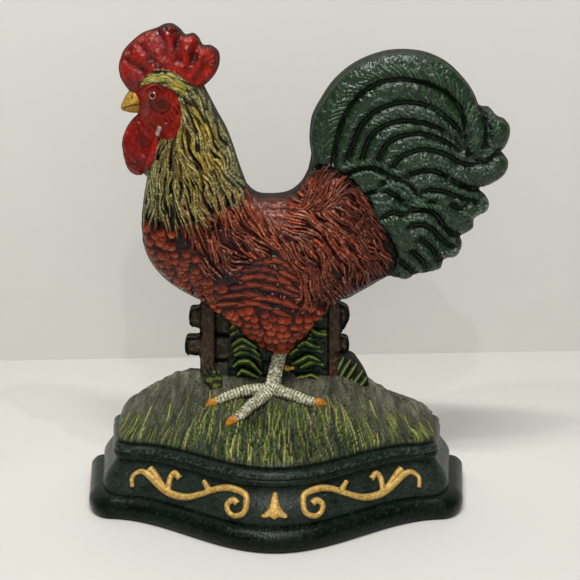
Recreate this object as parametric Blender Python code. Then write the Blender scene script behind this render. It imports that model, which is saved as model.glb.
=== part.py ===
"""Cast iron doorstop: a rooster in front relief on a grassy mound and a bow-fronted moulded base.

The object is one open-backed iron casting. Each modelled element of it is its own closed solid here,
a clearance away from its neighbours. Drawing frame, in millimetres: x to the right, z up from the
table, y = 0 the flat back plane and -y towards the viewer. Heights of the fence, the grass and the
rooster are measured from the crest of the mound.
"""
import math

import bmesh
import bpy
import numpy as np
from mathutils import Vector

MM = 0.001
CLEARANCE = 0.3
WALL = 5.0
# How far cutters reach in front of the back plane and behind it, and how far a corner may be mitred
IN_FRONT = 40.0
BEHIND = 10.0
MITRE_LIMIT = 0.45

# Base: the plan is a bow front with rounded front corners and ends that widen towards the back
BASE_HALF_WIDTH = 94.5
BASE_DEPTH = 84.5
SHOULDER_DEPTH = 51.0
END_DEPTH = 33.0
BOW_SPAN = 85.0
CORNER_RUN = 12.5
END_FLARE = 4.0
PLINTH_HEIGHT = 11.0
PLINTH_SIDE_STEP = 7.0
PLINTH_FRONT_STEP = 7.5
APRON_HEIGHT = 15.0
APRON_SIDE_SETBACK = 7.5
APRON_FRONT_SETBACK = 10.0
BEAD_HEIGHT = 8.0
BEAD_ROLL = 1.8
BEAD_SIDE_LEDGE = 2.0
BEAD_FRONT_LEDGE = 4.6
BEAD_SEAT = 2.2
BOW_COLUMNS = 34
CORNER_COLUMNS = 5
# How much of the bow's setback its shoulders and its ends take
SHOULDER_SHARE = 0.7
END_SHARE = 0.2
# Profiles, as pairs: share of the band's height, and share of its step, setback or roll
PLINTH_PROFILE = [(0, 0.19), (0.18, 0.04), (0.41, 0), (0.64, 0.09), (0.85, 0.37), (1, 0.87)]
APRON_PROFILE = [(0, 0), (0.3, 0.12), (0.7, 0.66), (1, 1)]
BEAD_PROFILE = [(0, 0), (0.15, 0.8), (0.45, 1), (0.75, 0.4), (1, -0.9)]

# Mound: its crest lies on the back plane, and its ends drop to the bead
CREST_HEIGHT = 61.5
MOUND_EDGE_RISE = 1.5
MOUND_FULLNESS = 0.25
MOUND_FLARE = 1.5
MOUND_RIPPLE = 0.8
MOUND_RIPPLE_PITCH = 23.0
MOUND_COLUMNS = 36
MOUND_ROWS = 8

# Relief: depth at the rim, and how far each form swells in front of it
RIM_DEPTH = 7.0
BODY_SWELL = 16.0
BODY_SWELL_RUN = 40.0
BELLY_DEPTH = 15.5
BELLY_SWELL = 8.0
BELLY_SWELL_RUN = 16.0
COMB_DEPTH = 6.5
COMB_SWELL = 7.0
COMB_SWELL_RUN = 18.0
TAIL_SWELL = 6.5
TAIL_SWELL_RUN = 14.0
HEAD_SEAM_RUN = 6.0
TAIL_SEAM_RUN = 16.0
FENCE_DEPTH = 7.5
TUFT_DEPTH = 9.8
LEAF_DEPTH = 8.8
LEG_DEPTH = 16.5
LEG_MIDDLE = 2.0
LEG_ROUNDING = 0.12
RELIEF_GRID = 6.0
HOLLOW_GRID = 7.7
SMALLEST_HOLLOW = 1.5

# Leg, toes and small details
TOE_RADIUS = 3.6
TOE_TIP_RADIUS = 2.4
TOE_LIFT = 0.5
TOE_STATIONS = (0, 0.35, 0.7, 1)
CLAW_LENGTH = 5.0
CLAW_RADIUS = 2.1
SPUR_LENGTH = 4.5
SPUR_RADIUS = 1.5
SPUR_HEIGHT = 5.5
SPUR_DROOP = 0.8
MIDDLE_SHARE = 0.8
TIP_SHARE = 0.3
EYE_RADIUS = 2.2
EYE_RISE = 1.0
EYE_CORNERS = 12
EYE_CENTRE = (-57.2, 143.2)
LEAF_RADIUS = 1.6
LEAF_ARCH = 1.2
SCROLL_RADIUS = 1.5
SCROLL_SINK = 0.5
SCROLL_MARGIN = 16.7
MOTIF_RISE = 1.6

COLOURS = {
    "base_green": ((0.012, 0.035, 0.028), 0.35),
    "gilt": ((0.62, 0.42, 0.10), 0.35),
    "mound_green": ((0.060, 0.080, 0.035), 0.60),
    "tuft_green": ((0.045, 0.090, 0.020), 0.55),
    "fence_brown": ((0.075, 0.055, 0.035), 0.65),
    "leg_grey": ((0.36, 0.33, 0.22), 0.60),
    "claw_orange": ((0.72, 0.33, 0.06), 0.50),
    "feather_red": ((0.36, 0.050, 0.020), 0.45),
    "hackle_olive": ((0.30, 0.24, 0.045), 0.50),
    "comb_red": ((0.36, 0.012, 0.010), 0.40),
    "face_red": ((0.40, 0.020, 0.012), 0.40),
    "beak_ochre": ((0.46, 0.24, 0.04), 0.45),
    "eye_black": ((0.020, 0.015, 0.012), 0.30),
    "tail_green": ((0.010, 0.040, 0.020), 0.35),
}

# Lines of the front view, in mm: x from the base's middle, height from the mound's crest. Each line
# that two elements share is written once.
LINES = {
    "comb_edge": [(-69.5, 143.6), (-71.5, 146.5), (-73.5, 150.5), (-74, 155), (-73, 159),
                  (-70.8, 163.5), (-66, 168), (-61.9, 170.6), (-56.1, 172.5), (-52.3, 174.3),
                  (-48.6, 174.4), (-45.2, 172.2), (-42.6, 169.5), (-38.9, 170), (-36.4, 168),
                  (-34.4, 164.6), (-30.7, 164.3), (-27.5, 162), (-26.5, 158.8), (-27.2, 154),
                  (-30, 149.7), (-34.5, 145.5)],
    "comb_foot": [(-64, 146), (-61, 151), (-56, 154.5), (-51, 154.5), (-46, 152.5), (-41.5, 149),
                  (-38, 146.8), (-34.5, 145.5)],
    "comb_face": [(-66, 143), (-64, 146)],
    "beak_comb": [(-69.5, 143.6), (-66, 143)],
    "beak_edge": [(-69.5, 143.6), (-71.3, 141.3), (-73, 138), (-73.8, 135.8), (-72.8, 134.2),
                  (-69, 133.3), (-65.5, 133)],
    "beak_face": [(-66, 143), (-65, 140.5), (-64.5, 137.5), (-65.5, 133)],
    "chin": [(-65.5, 133), (-67, 131)],
    "wattle_edge": [(-67, 131), (-70.5, 127.5), (-73, 122.5), (-74, 118), (-73.5, 112.5), (-72, 106.5),
                    (-69.5, 103.5), (-66, 102.5), (-64, 103.5)],
    "wattle_back": [(-64, 103.5), (-60.5, 107), (-58, 111), (-56.5, 117), (-55.5, 122.5)],
    "wattle_face": [(-67, 131), (-61.5, 127.5), (-55.5, 122.5)],
    "face_hackle": [(-55.5, 122.5), (-50.5, 122.5), (-47, 124.5), (-44.5, 129), (-44, 136),
                    (-45, 141.5), (-48, 146), (-53, 148.5), (-59, 148), (-64, 146)],
    "throat": [(-64, 103.5), (-62.5, 101.5), (-64, 93.5), (-65.3, 85), (-66, 78)],
    "nape": [(-34.5, 145.5), (-31.8, 140), (-28, 132.5), (-24, 125), (-21, 117), (-17.6, 106),
             (-14.4, 97)],
    "hackle_hem_front": [(-66, 78), (-60, 74), (-50, 72), (-40, 73.5), (-31, 77.5)],
    "hackle_hem_back": [(-31, 77.5), (-23.5, 84), (-18.5, 90.5), (-14.4, 97)],
    "breast_edge": [(-66, 78), (-65.5, 69.5), (-63.5, 62), (-59.5, 55), (-54, 49), (-48, 44.5),
                    (-42, 41), (-38, 39)],
    "breast_saddle": [(-31, 77.5), (-33, 69), (-33, 61), (-31, 54.5)],
    "wing_front": [(-31, 54.5), (-28, 48), (-22, 43)],
    "wing_foot": [(-22, 43), (-12, 37), (0, 34), (11, 34), (20, 38.5)],
    "wing_top": [(-31, 54.5), (-27, 62), (-18, 67), (-6, 67), (6, 61), (14, 51.5), (20, 38.5)],
    "thigh_front": [(-22, 43), (-24, 38), (-25, 32.5)],
    "thigh_back": [(20, 38.5), (24, 34)],
    "belly_fence_left": [(-38, 39), (-31, 36), (-25, 32.5)],
    "belly_tuft_left": [(-25, 32.5), (-19.5, 27), (-12, 20), (-1.5, 13)],
    "belly_leg": [(-1.5, 13), (6.5, 13.5)],
    "belly_tuft_right": [(6.5, 13.5), (13, 21), (18.5, 27.5), (24, 34)],
    "belly_fence_right": [(24, 34), (31, 39)],
    "rump": [(31, 39), (35.6, 39.8), (41.5, 43.2), (47, 46.4), (51.5, 49.3), (55.5, 51.5)],
    "back": [(-14.4, 97), (-11.5, 94), (-8, 92.3), (-4, 91.9), (0, 92), (4, 92.5), (7.5, 93.8),
             (10.5, 96), (13.2, 99), (15.8, 104)],
    "tail_root_upper": [(15.8, 104), (21, 107), (27.6, 107)],
    "tail_root_middle": [(27.6, 107), (33, 103.5)],
    "tail_root_lower": [(33, 103.5), (36.5, 100.5), (41.8, 93.8)],
    "tail_root_foot": [(41.8, 93.8), (45, 90.5), (45.8, 84.5), (52, 76.3), (56.5, 68.8), (58.5, 61),
                       (55.5, 51.5)],
    "sickle_edge": [(15.8, 104), (17.3, 112), (16.4, 120), (17.2, 129), (19, 134), (21.5, 138.5),
                    (25, 144.2), (28.5, 148.6), (33, 152.8), (37.5, 156), (42.5, 158.6), (47.8, 160.6),
                    (53.5, 162), (59.7, 162.5), (66, 162.2), (71.5, 161.2), (76.5, 159.4), (81, 157),
                    (85, 154), (89, 150), (92, 146.5), (95, 141.5), (97, 136.5)],
    "sickle_inner": [(27.6, 107), (29, 117.5), (32, 130), (36.5, 138.5), (43.5, 145), (53.5, 149),
                     (64.5, 149.2), (75, 146.5), (83.5, 141), (89, 132), (90.5, 121.5), (92.5, 115),
                     (97.3, 110.8)],
    "sickle_end": [(97.3, 110.8), (99.5, 115.5), (100.8, 122), (100.6, 128), (99.3, 132.5),
                   (97, 136.5)],
    "tips_edge": [(97, 136.5), (99.5, 135.3), (103, 134.8), (106.8, 130.8), (111, 128.8), (112.5, 125),
                  (112, 120.5), (110.5, 117), (108.2, 114.3)],
    "tips_foot": [(108.2, 114.3), (102.7, 111.2), (97.3, 110.8)],
    "inner_edge": [(108.2, 114.3), (111.3, 111.8), (112.6, 108), (110.3, 102.5), (104.5, 98.5),
                   (99, 96.6)],
    "inner_foot": [(33, 103.5), (37.5, 105.6), (43, 107.2), (49.3, 106.5), (55, 103.4), (60.5, 101.5),
                   (65.5, 104.4), (71.5, 106), (77, 105.4), (83, 103), (91.5, 98), (99, 96.6)],
    "middle_edge": [(99, 96.6), (100.1, 94), (103.8, 90.3), (103.3, 85.1), (97.4, 81.2), (96.6, 76),
                    (90.7, 72.3)],
    "middle_foot": [(41.8, 93.8), (48, 95.6), (54.5, 95.4), (60.3, 91.7), (66.2, 87.7), (75, 85.7),
                    (79, 82.5), (81.6, 78.6), (85, 75.6), (90.7, 72.3)],
    "lower_edge": [(90.7, 72.3), (91.8, 67.7), (89.3, 62), (83.3, 60.2), (81.6, 55.6), (76.2, 53.7),
                   (69.5, 52.5), (65, 50), (58, 51.2), (55.5, 51.5)],
    "post_left_edge": [(-38, 39), (-38.3, 33.5), (-43.5, 33.5), (-44.3, 29), (-43.8, 23.3), (-38.6, 23),
                       (-38.8, 18), (-46, 18), (-46.8, 13), (-46.3, 8), (-39, 7.8), (-39.3, -14)],
    "fence_tuft_left": [(-25, 32.5), (-24, 22), (-24.5, 8), (-26, -14)],
    "tuft_leg": [(-1.5, 13), (-2, 5), (-2.8, -3), (-3.5, -14)],
    "leg_tuft": [(6.5, 13.5), (5.6, 5), (5, -3), (4.5, -14)],
    "tuft_fence_right": [(24, 34), (25.5, 22), (26, 8), (27, -14)],
    "post_right_edge": [(31, 39), (31.7, 36), (36.5, 33.8), (37.5, 29.5), (36, 25), (33, 20), (32, 18),
                        (36, 17.8), (37.3, 15.5), (37, 9.5), (31.5, 9)],
    "fence_leaves": [(31.5, 9), (31.5, -14)],
    "leaves_edge": [(31.5, 9), (36, 8.8), (39.5, 7.5), (42.5, 3.5), (45.5, -1.5), (47.5, -7),
                    (48, -14)],
}

# Elements of the front view: the relief block each is cut from, its colour, and its lines in order
# round the outline, with a minus where a line runs backwards.
ELEMENTS = {
    "breast": ("body", "feather_red", ["hackle_hem_front", "breast_saddle", "wing_front", "thigh_front",
                                       "-belly_fence_left", "-breast_edge"]),
    "thigh": ("body", "feather_red", ["-thigh_front", "wing_foot", "thigh_back", "-belly_tuft_right",
                                      "-belly_leg", "-belly_tuft_left"]),
    "wing": ("body", "feather_red", ["wing_top", "-wing_foot", "-wing_front"]),
    "saddle": ("body", "feather_red", ["hackle_hem_back", "back", "tail_root_upper", "tail_root_middle",
                                       "tail_root_lower", "tail_root_foot", "-rump", "-belly_fence_right",
                                       "-thigh_back", "-wing_top", "-breast_saddle"]),
    "hackle": ("body", "hackle_olive", ["comb_foot", "nape", "-hackle_hem_back", "-hackle_hem_front",
                                        "-throat", "wattle_back", "face_hackle"]),
    "face": ("body", "face_red", ["comb_face", "-face_hackle", "-wattle_face", "-chin", "-beak_face"]),
    "beak": ("head", "beak_ochre", ["beak_comb", "beak_face", "-beak_edge"]),
    "comb": ("head", "comb_red", ["comb_edge", "-comb_foot", "-comb_face", "-beak_comb"]),
    "wattle": ("head", "comb_red", ["wattle_face", "-wattle_back", "-wattle_edge"]),
    "tail_sickle": ("tail", "tail_green", ["sickle_edge", "-sickle_end", "-sickle_inner",
                                           "-tail_root_upper"]),
    "tail_tips": ("tail", "tail_green", ["tips_edge", "tips_foot", "sickle_end"]),
    "tail_inner_plumes": ("tail", "tail_green", ["sickle_inner", "-tips_foot", "inner_edge", "-inner_foot",
                                                 "-tail_root_middle"]),
    "tail_middle_plumes": ("tail", "tail_green", ["inner_foot", "middle_edge", "-middle_foot",
                                                  "-tail_root_lower"]),
    "tail_lower_plumes": ("tail", "tail_green", ["middle_foot", "lower_edge", "-tail_root_foot"]),
    "fence_left": ("fence", "fence_brown", ["belly_fence_left", "fence_tuft_left", "-post_left_edge"]),
    "fence_right": ("fence", "fence_brown", ["belly_fence_right", "post_right_edge", "fence_leaves",
                                             "-tuft_fence_right"]),
    "grass_tuft_left": ("tuft", "tuft_green", ["belly_tuft_left", "tuft_leg", "-fence_tuft_left"]),
    "grass_tuft_right": ("tuft", "tuft_green", ["belly_tuft_right", "tuft_fence_right", "-leg_tuft"]),
    "grass_leaves_right": ("leaf", "tuft_green", ["leaves_edge", "-fence_leaves"]),
    "leg_and_foot": ("leg", "leg_grey", ["belly_leg", "leg_tuft", "-tuft_leg"]),
}
STANDING_BLOCKS = ("fence", "tuft", "leaf")

# Low and high corner of each relief block in the front view
BLOCK_CORNERS = {"body": ((-80, 8), (64, 180)), "head": ((-80, 98), (-20, 180)),
                 "tail": ((10, 46), (118, 170)), "fence": ((-50, -20), (50, 44)),
                 "tuft": ((-50, -20), (50, 44)), "leaf": ((-50, -20), (60, 44)),
                 "leg": ((-6, -20), (10, 18))}

# Silhouette lines that the swell of each relief block is measured from
BODY_RIMS = ("chin", "throat", "breast_edge", "nape", "back", "rump", "beak_edge", "comb_edge")
BELLY_RIMS = ("belly_fence_left", "belly_tuft_left", "belly_leg", "belly_tuft_right", "belly_fence_right")
HEAD_SEAMS = ("comb_foot", "comb_face", "beak_face", "wattle_face", "wattle_back")
TAIL_SEAMS = ("tail_root_upper", "tail_root_middle", "tail_root_lower", "tail_root_foot")
HEAD_RIMS = ("comb_edge", "wattle_edge", "beak_edge")
TAIL_RIMS = ("sickle_edge", "tips_edge", "inner_edge", "middle_edge", "lower_edge")

# Ear lobe, an island inside the face
EAR_LOBE = [(-54.5, 128.5), (-51, 126.8), (-48, 128), (-46.2, 131.5), (-46, 135.5), (-48.5, 134),
            (-50.5, 131.5)]

# Hollow back of the body and of the tail, one wall inside the silhouette
BODY_HOLLOW = [(-58, 76), (-57, 64), (-50, 54), (-38, 46), (-24, 39), (-12, 28), (-2, 22), (7, 22),
               (14, 31), (22, 39), (34, 46), (46, 54), (49, 62), (46, 76), (36, 88), (24, 96.5), (17, 97),
               (9, 89), (-3, 86.5), (-14, 90), (-22, 97), (-30, 113), (-38, 125), (-50, 115), (-55, 104),
               (-57, 90)]
TAIL_HOLLOW = [(24.5, 112), (24, 128), (29, 141), (39, 151), (53, 156), (66, 155.5), (78, 150.5),
               (87, 139), (91, 124), (98, 113), (96, 104), (90, 90), (84, 74), (74, 63), (66, 62),
               (60, 73), (52, 86), (40, 100), (32, 108)]

# Top edge of the mound on the back plane, as heights from the crest
MOUND_SKYLINE = [(-86, -29.5), (-82, -27), (-77, -19), (-68, -12), (-62, -8.5), (-56, -5), (-49, -1.8),
                 (-40, -1.2), (-30, -0.5), (0, 0), (36, 0), (45, -5), (58, -12.5), (70, -17.5),
                 (78, -22), (84, -28.5)]

# Toes, from the ankle to the claw, as places in plan on the mound
TOES = {"left": ((0.5, -14.2), (-29.5, -23.5)), "middle": ((1.2, -13.4), (-19.5, -37.5)),
        "right": ((2.6, -14.6), (19.5, -27.0))}
LEAF_ROOT = (-32.5, -14.5)
LEFT_LEAVES = [((-37.5, -9.8), 6.5), ((-33.5, -9.8), 9.0), ((-29, -10.0), 7.0)]

# Scrolls on the apron, left half: each stroke from thick to thin, as shares of the scroll's reach from
# the middle and of the apron's height, with its radius at both ends as shares of the scroll's radius
SCROLL_STROKES = [
    ([(-1, 0.29), (-1, 0.57), (-0.94, 0.73), (-0.88, 0.63), (-0.78, 0.39), (-0.7, 0.3), (-0.6, 0.35),
      (-0.49, 0.55), (-0.38, 0.77), (-0.29, 0.85), (-0.2, 0.77), (-0.19, 0.55), (-0.21, 0.32),
      (-0.27, 0.2), (-0.31, 0.28), (-0.32, 0.45), (-0.28, 0.59), (-0.25, 0.52)], 1, 0.8),
    ([(-0.77, 0.43), (-0.83, 0.65), (-0.88, 0.84)], 0.9, 1.2),
    ([(-0.74, 0.4), (-0.73, 0.67), (-0.7, 0.84), (-0.66, 0.73)], 0.8, 0.9),
    ([(-0.45, 0.67), (-0.49, 0.85)], 1, 0.6),
]
# Half of the motif between the scrolls, from its top to its foot, in mm from the apron's foot
MOTIF_HALF = [(0, 13.6), (1.8, 11.8), (3, 9), (6, 6), (5.7, 5), (2.5, 5.5), (0, 4)]


def collection(name):
    """A new collection linked to the scene."""
    made = bpy.data.collections.new(name)
    bpy.context.scene.collection.children.link(made)
    return made


def clear_scene():
    """Remove every object that is in the file."""
    for old in list(bpy.data.objects):
        bpy.data.objects.remove(old, do_unlink=True)


def paint(colour):
    """The Principled material of one colour, made once."""
    if colour in bpy.data.materials:
        return bpy.data.materials[colour]
    (red, green, blue), roughness = COLOURS[colour]
    material = bpy.data.materials.new(colour)
    material.use_nodes = True
    shader = material.node_tree.nodes["Principled BSDF"]
    shader.inputs["Base Color"].default_value = (red, green, blue, 1)
    shader.inputs["Roughness"].default_value = roughness
    shader.inputs["Metallic"].default_value = 0
    return material


def add_object(name, mesh, group):
    """Put a mesh in the scene as an object of one collection, under the root empty."""
    made = bpy.data.objects.new(name, mesh)
    group.objects.link(made)
    made.parent = ROOT
    if group is CUTTERS:
        made.hide_render = True
        made.display_type = 'WIRE'
    return made


def add_element(name, mesh, colour):
    """A named, painted element of the doorstop."""
    mesh.materials.clear()
    mesh.materials.append(paint(colour))
    mesh.shade_smooth()
    mesh.set_sharp_from_angle(angle=math.radians(35))
    return add_object(name, mesh, DOORSTOP)


def boolean(target, operation, other, bends=False):
    """Combine a target with another object, which stays editable. A bar that bends may meet itself."""
    step = target.modifiers.new(operation.title(), 'BOOLEAN')
    step.operation = operation
    step.object = other
    step.solver = 'EXACT'
    step.use_self = bends


def block(name, columns, rows, front, back):
    """A closed solid between two surfaces that share a grid of parameters from 0 to 1."""
    shape = bmesh.new()
    bmesh.ops.create_grid(shape, x_segments=columns, y_segments=rows, size=0.5)
    places = {v: (v.co.x + 0.5, v.co.y + 0.5) for v in shape.verts}
    made = bmesh.ops.extrude_face_region(shape, geom=shape.faces[:], use_keep_orig=True)
    behind = [item for item in made["geom"] if isinstance(item, bmesh.types.BMVert)]
    for vertex in behind:
        u, v = vertex.co.x + 0.5, vertex.co.y + 0.5
        vertex.co = Vector(back(u, v)) * MM
    for vertex, (u, v) in places.items():
        vertex.co = Vector(front(u, v)) * MM
    bmesh.ops.recalc_face_normals(shape, faces=shape.faces)
    mesh = bpy.data.meshes.new(name)
    shape.to_mesh(mesh)
    shape.free()
    return mesh


def loft(name, sections):
    """A closed solid through closed sections that have the same number of corners."""
    shape = bmesh.new()
    rings = [[shape.verts.new(Vector(point) * MM) for point in section] for section in sections]
    for low, high in zip(rings, rings[1:]):
        for i, corner in enumerate(low):
            j = (i + 1) % len(low)
            shape.faces.new((corner, low[j], high[j], high[i]))
    shape.faces.new(list(reversed(rings[0])))
    shape.faces.new(rings[-1])
    bmesh.ops.recalc_face_normals(shape, faces=shape.faces)
    mesh = bpy.data.meshes.new(name)
    shape.to_mesh(mesh)
    shape.free()
    return mesh


def curve_mesh(curve_object):
    """Turn a curve object into a closed mesh in world space, and remove the curve."""
    bpy.context.view_layer.update()
    evaluated = curve_object.evaluated_get(bpy.context.evaluated_depsgraph_get())
    mesh = bpy.data.meshes.new_from_object(evaluated)
    mesh.transform(curve_object.matrix_world)
    shape = bmesh.new()
    shape.from_mesh(mesh)
    bmesh.ops.remove_doubles(shape, verts=shape.verts, dist=0.001 * MM)
    bmesh.ops.recalc_face_normals(shape, faces=shape.faces)
    shape.to_mesh(mesh)
    shape.free()
    data = curve_object.data
    bpy.data.objects.remove(curve_object, do_unlink=True)
    bpy.data.curves.remove(data)
    return mesh


def prism(name, outline, near, far):
    """A front-view outline run from one depth to another."""
    curve = bpy.data.curves.new(name, 'CURVE')
    curve.dimensions = '2D'
    curve.fill_mode = 'BOTH'
    curve.extrude = (far - near) / 2 * MM
    spline = curve.splines.new('POLY')
    spline.points.add(len(outline) - 1)
    for point, (x, z) in zip(spline.points, outline):
        point.co = (x * MM, z * MM, 0, 1)
    spline.use_cyclic_u = True
    holder = bpy.data.objects.new(name, curve)
    bpy.context.scene.collection.objects.link(holder)
    holder.location = (0, (near + far) / 2 * MM, 0)
    holder.rotation_euler = (math.pi / 2, 0, 0)
    return curve_mesh(holder)


def tapered_tube(name, points, radii, sides_level=1):
    """A round bar along points, with its own radius at each of them."""
    curve = bpy.data.curves.new(name, 'CURVE')
    curve.dimensions = '3D'
    curve.bevel_depth = MM
    curve.bevel_resolution = sides_level
    curve.use_fill_caps = True
    spline = curve.splines.new('POLY')
    spline.points.add(len(points) - 1)
    for point, place, radius in zip(spline.points, points, radii):
        point.co = (place[0] * MM, place[1] * MM, place[2] * MM, 1)
        point.radius = radius
    holder = bpy.data.objects.new(name, curve)
    bpy.context.scene.collection.objects.link(holder)
    return curve_mesh(holder)


def trace(steps):
    """The closed outline that a list of named lines makes, at heights above the table."""
    outline = []
    for step in steps:
        backwards = step.startswith("-")
        line = LINES[step.lstrip("-")]
        if backwards:
            line = line[::-1]
        if outline and outline[-1] == line[0]:
            line = line[1:]
        outline.extend(line)
    if outline[-1] == outline[0]:
        outline.pop()
    return raised(outline)


def raised(outline):
    """An outline of heights from the crest, as heights above the table."""
    return [(x, z + CREST_HEIGHT) for x, z in outline]


def inset(outline, distance):
    """An outline drawn in by a distance on every side, with mitred corners."""
    points = np.array(outline, float)
    before = points - np.roll(points, 1, axis=0)
    after = np.roll(points, -1, axis=0) - points
    area = np.sum(points[:, 0] * np.roll(points[:, 1], -1) - np.roll(points[:, 0], -1) * points[:, 1])
    turn = 1 if area > 0 else -1

    def inward(edge):
        length = np.linalg.norm(edge, axis=1, keepdims=True)
        return np.column_stack([-edge[:, 1], edge[:, 0]]) * turn / length

    first, second = inward(before), inward(after)
    middle = first + second
    middle /= np.linalg.norm(middle, axis=1, keepdims=True)
    stretch = np.clip(np.sum(middle * first, axis=1, keepdims=True), MITRE_LIMIT, 1)
    return [tuple(point) for point in points + middle * distance / stretch]


def rim_distance(x, z, rims):
    """Distance in the front view from a place to the nearest of some silhouette lines."""
    nearest = math.inf
    for rim in rims:
        line = np.array(LINES[rim], float) + (0, CREST_HEIGHT)
        start = line[:-1]
        run = line[1:] - start
        along = np.sum((np.array((x, z)) - start) * run, axis=1) / np.sum(run * run, axis=1)
        foot = start + run * np.clip(along, 0, 1)[:, None]
        nearest = min(nearest, float(np.min(np.hypot(foot[:, 0] - x, foot[:, 1] - z))))
    return nearest


def swell(distance, height, run):
    """A quarter-round rise from a rim."""
    inside = min(distance / run, 1)
    return height * math.sqrt(1 - (1 - inside) ** 2)


def body_depth(x, z):
    """How far the body's front stands before the back plane: drawn in at the belly, and run out to the
    depth of the head and of the tail where it meets them."""
    form = RIM_DEPTH + swell(rim_distance(x, z, BODY_RIMS), BODY_SWELL, BODY_SWELL_RUN)
    belly = BELLY_DEPTH + swell(rim_distance(x, z, BELLY_RIMS), BELLY_SWELL, BELLY_SWELL_RUN)
    depth = min(form, belly)
    for beside, seams, run in ((head_depth(x, z), HEAD_SEAMS, HEAD_SEAM_RUN),
                               (tail_depth(x, z), TAIL_SEAMS, TAIL_SEAM_RUN)):
        if depth > beside:
            near = min(rim_distance(x, z, seams) / run, 1)
            depth = beside + (depth - beside) * near * near * (3 - 2 * near)
    return depth


def head_depth(x, z):
    """Depth of the comb, the beak and the wattle."""
    return COMB_DEPTH + swell(rim_distance(x, z, HEAD_RIMS), COMB_SWELL, COMB_SWELL_RUN)


def tail_depth(x, z):
    """Depth of the tail's plumes."""
    return RIM_DEPTH + swell(rim_distance(x, z, TAIL_RIMS), TAIL_SWELL, TAIL_SWELL_RUN)


def relief_block(name, kind, depth, back_y=0.0, grid=RELIEF_GRID):
    """A closed block over a rectangle of the front view, with a relief as its front."""
    (left, low), (right, high) = (raised([corner])[0] for corner in BLOCK_CORNERS[kind])
    width, height = right - left, high - low

    def front(u, v):
        x, z = left + u * width, low + v * height
        return (x, -depth(x, z), z)

    def back(u, v):
        return (left + u * width, back_y, low + v * height)

    return add_object(name, block(name, round(width / grid), round(height / grid), front, back), CUTTERS)


def bow(half_width, depth, x):
    """Depth of the bow front at a distance x from the middle, out to its shoulders."""
    span = BOW_SPAN * half_width / BASE_HALF_WIDTH
    shoulder = shoulder_depth(depth)
    if abs(x) >= span:
        return shoulder
    return shoulder + (depth - shoulder) * 0.5 * (1 + math.cos(math.pi * x / span))


def shoulder_depth(depth):
    """Depth of the front at its shoulders, which step back less than the bow does."""
    return SHOULDER_DEPTH - (BASE_DEPTH - depth) * SHOULDER_SHARE


def front_depth(half_width, depth, x):
    """Depth of the whole front at x, with the rounded front corners."""
    corner = half_width - CORNER_RUN
    if abs(x) <= corner:
        return bow(half_width, depth, x)
    end = end_depth(depth)
    beyond = min((abs(x) - corner) / CORNER_RUN, 1)
    return end + (bow(half_width, depth, corner) - end) * math.sqrt(1 - beyond ** 2)


def end_depth(depth):
    """Depth at which the rounded front corner meets the straight end wall."""
    return END_DEPTH - (BASE_DEPTH - depth) * END_SHARE


def plan_section(side_inset, front_inset, z, back_y=0.0):
    """The base's plan at a height, drawn in at the ends and at the front."""
    half_width = BASE_HALF_WIDTH - side_inset
    depth = BASE_DEPTH - front_inset
    corner = half_width - CORNER_RUN
    xs = [corner * math.sin(math.pi / 2 * (2 * i / BOW_COLUMNS - 1)) for i in range(BOW_COLUMNS + 1)]
    left = [-corner - CORNER_RUN * math.cos(math.pi / 2 * i / CORNER_COLUMNS) for i in range(CORNER_COLUMNS)]
    right = [-x for x in reversed(left)]
    front = [(x, -front_depth(half_width, depth, x), z) for x in left + xs + right]
    flare = END_FLARE * (1 + back_y / END_DEPTH)
    return [(-half_width - flare, back_y, z)] + front + [(half_width + flare, back_y, z)]


def profile(steps, foot, height, side, front, side_run, front_run):
    """Levels of a moulding: its heights, with its insets at the ends and at the front."""
    return [(foot + height * share, side + side_run * part, front + front_run * part)
            for share, part in steps]


def top_insets():
    """Insets of the apron's top at the ends and at the front."""
    return PLINTH_SIDE_STEP + APRON_SIDE_SETBACK, PLINTH_FRONT_STEP + APRON_FRONT_SETBACK


def apron_levels(grow=0.0):
    """Levels of the apron's outer form, grown by a distance."""
    return profile(APRON_PROFILE, PLINTH_HEIGHT + CLEARANCE, APRON_HEIGHT - CLEARANCE,
                   PLINTH_SIDE_STEP - grow, PLINTH_FRONT_STEP - grow, APRON_SIDE_SETBACK, APRON_FRONT_SETBACK)


def apron_top():
    """Height of the apron's top above the table."""
    return PLINTH_HEIGHT + APRON_HEIGHT


def bead_top():
    """Height of the bead's top face."""
    return apron_top() + BEAD_HEIGHT


def make_base():
    """Plinth, apron and bead, each a moulded band round the hollow of the base."""
    side, front = top_insets()
    bands = {
        "plinth": profile(PLINTH_PROFILE, 0, PLINTH_HEIGHT, 0, 0, PLINTH_SIDE_STEP, PLINTH_FRONT_STEP),
        "apron": apron_levels(),
        "bead": profile(BEAD_PROFILE, apron_top() + CLEARANCE, BEAD_HEIGHT - CLEARANCE, side, front,
                        -BEAD_ROLL, -BEAD_ROLL),
    }
    inner_side = side + BEAD_SIDE_LEDGE + BEAD_SEAT
    inner_front = front + BEAD_FRONT_LEDGE + BEAD_SEAT
    core_levels = [(-WALL, WALL, WALL), (PLINTH_HEIGHT / 2, WALL, WALL),
                   (PLINTH_HEIGHT, PLINTH_SIDE_STEP + WALL, PLINTH_FRONT_STEP + WALL),
                   (apron_top(), inner_side, inner_front), (bead_top() + WALL, inner_side, inner_front)]
    sections = [plan_section(ends, bow_front, z, BEHIND) for z, ends, bow_front in core_levels]
    core = add_object("base_core", loft("base_core", sections), CUTTERS)
    for name, levels in bands.items():
        mesh = loft(name, [plan_section(ends, bow_front, z) for z, ends, bow_front in levels])
        boolean(add_element(name, mesh, "base_green"), 'DIFFERENCE', core)


def skyline(x):
    """Height of the mound above the table along the back plane."""
    xs = [point[0] for point in MOUND_SKYLINE]
    zs = [point[1] + CREST_HEIGHT for point in MOUND_SKYLINE]
    return float(np.interp(x, xs, zs))


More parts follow.
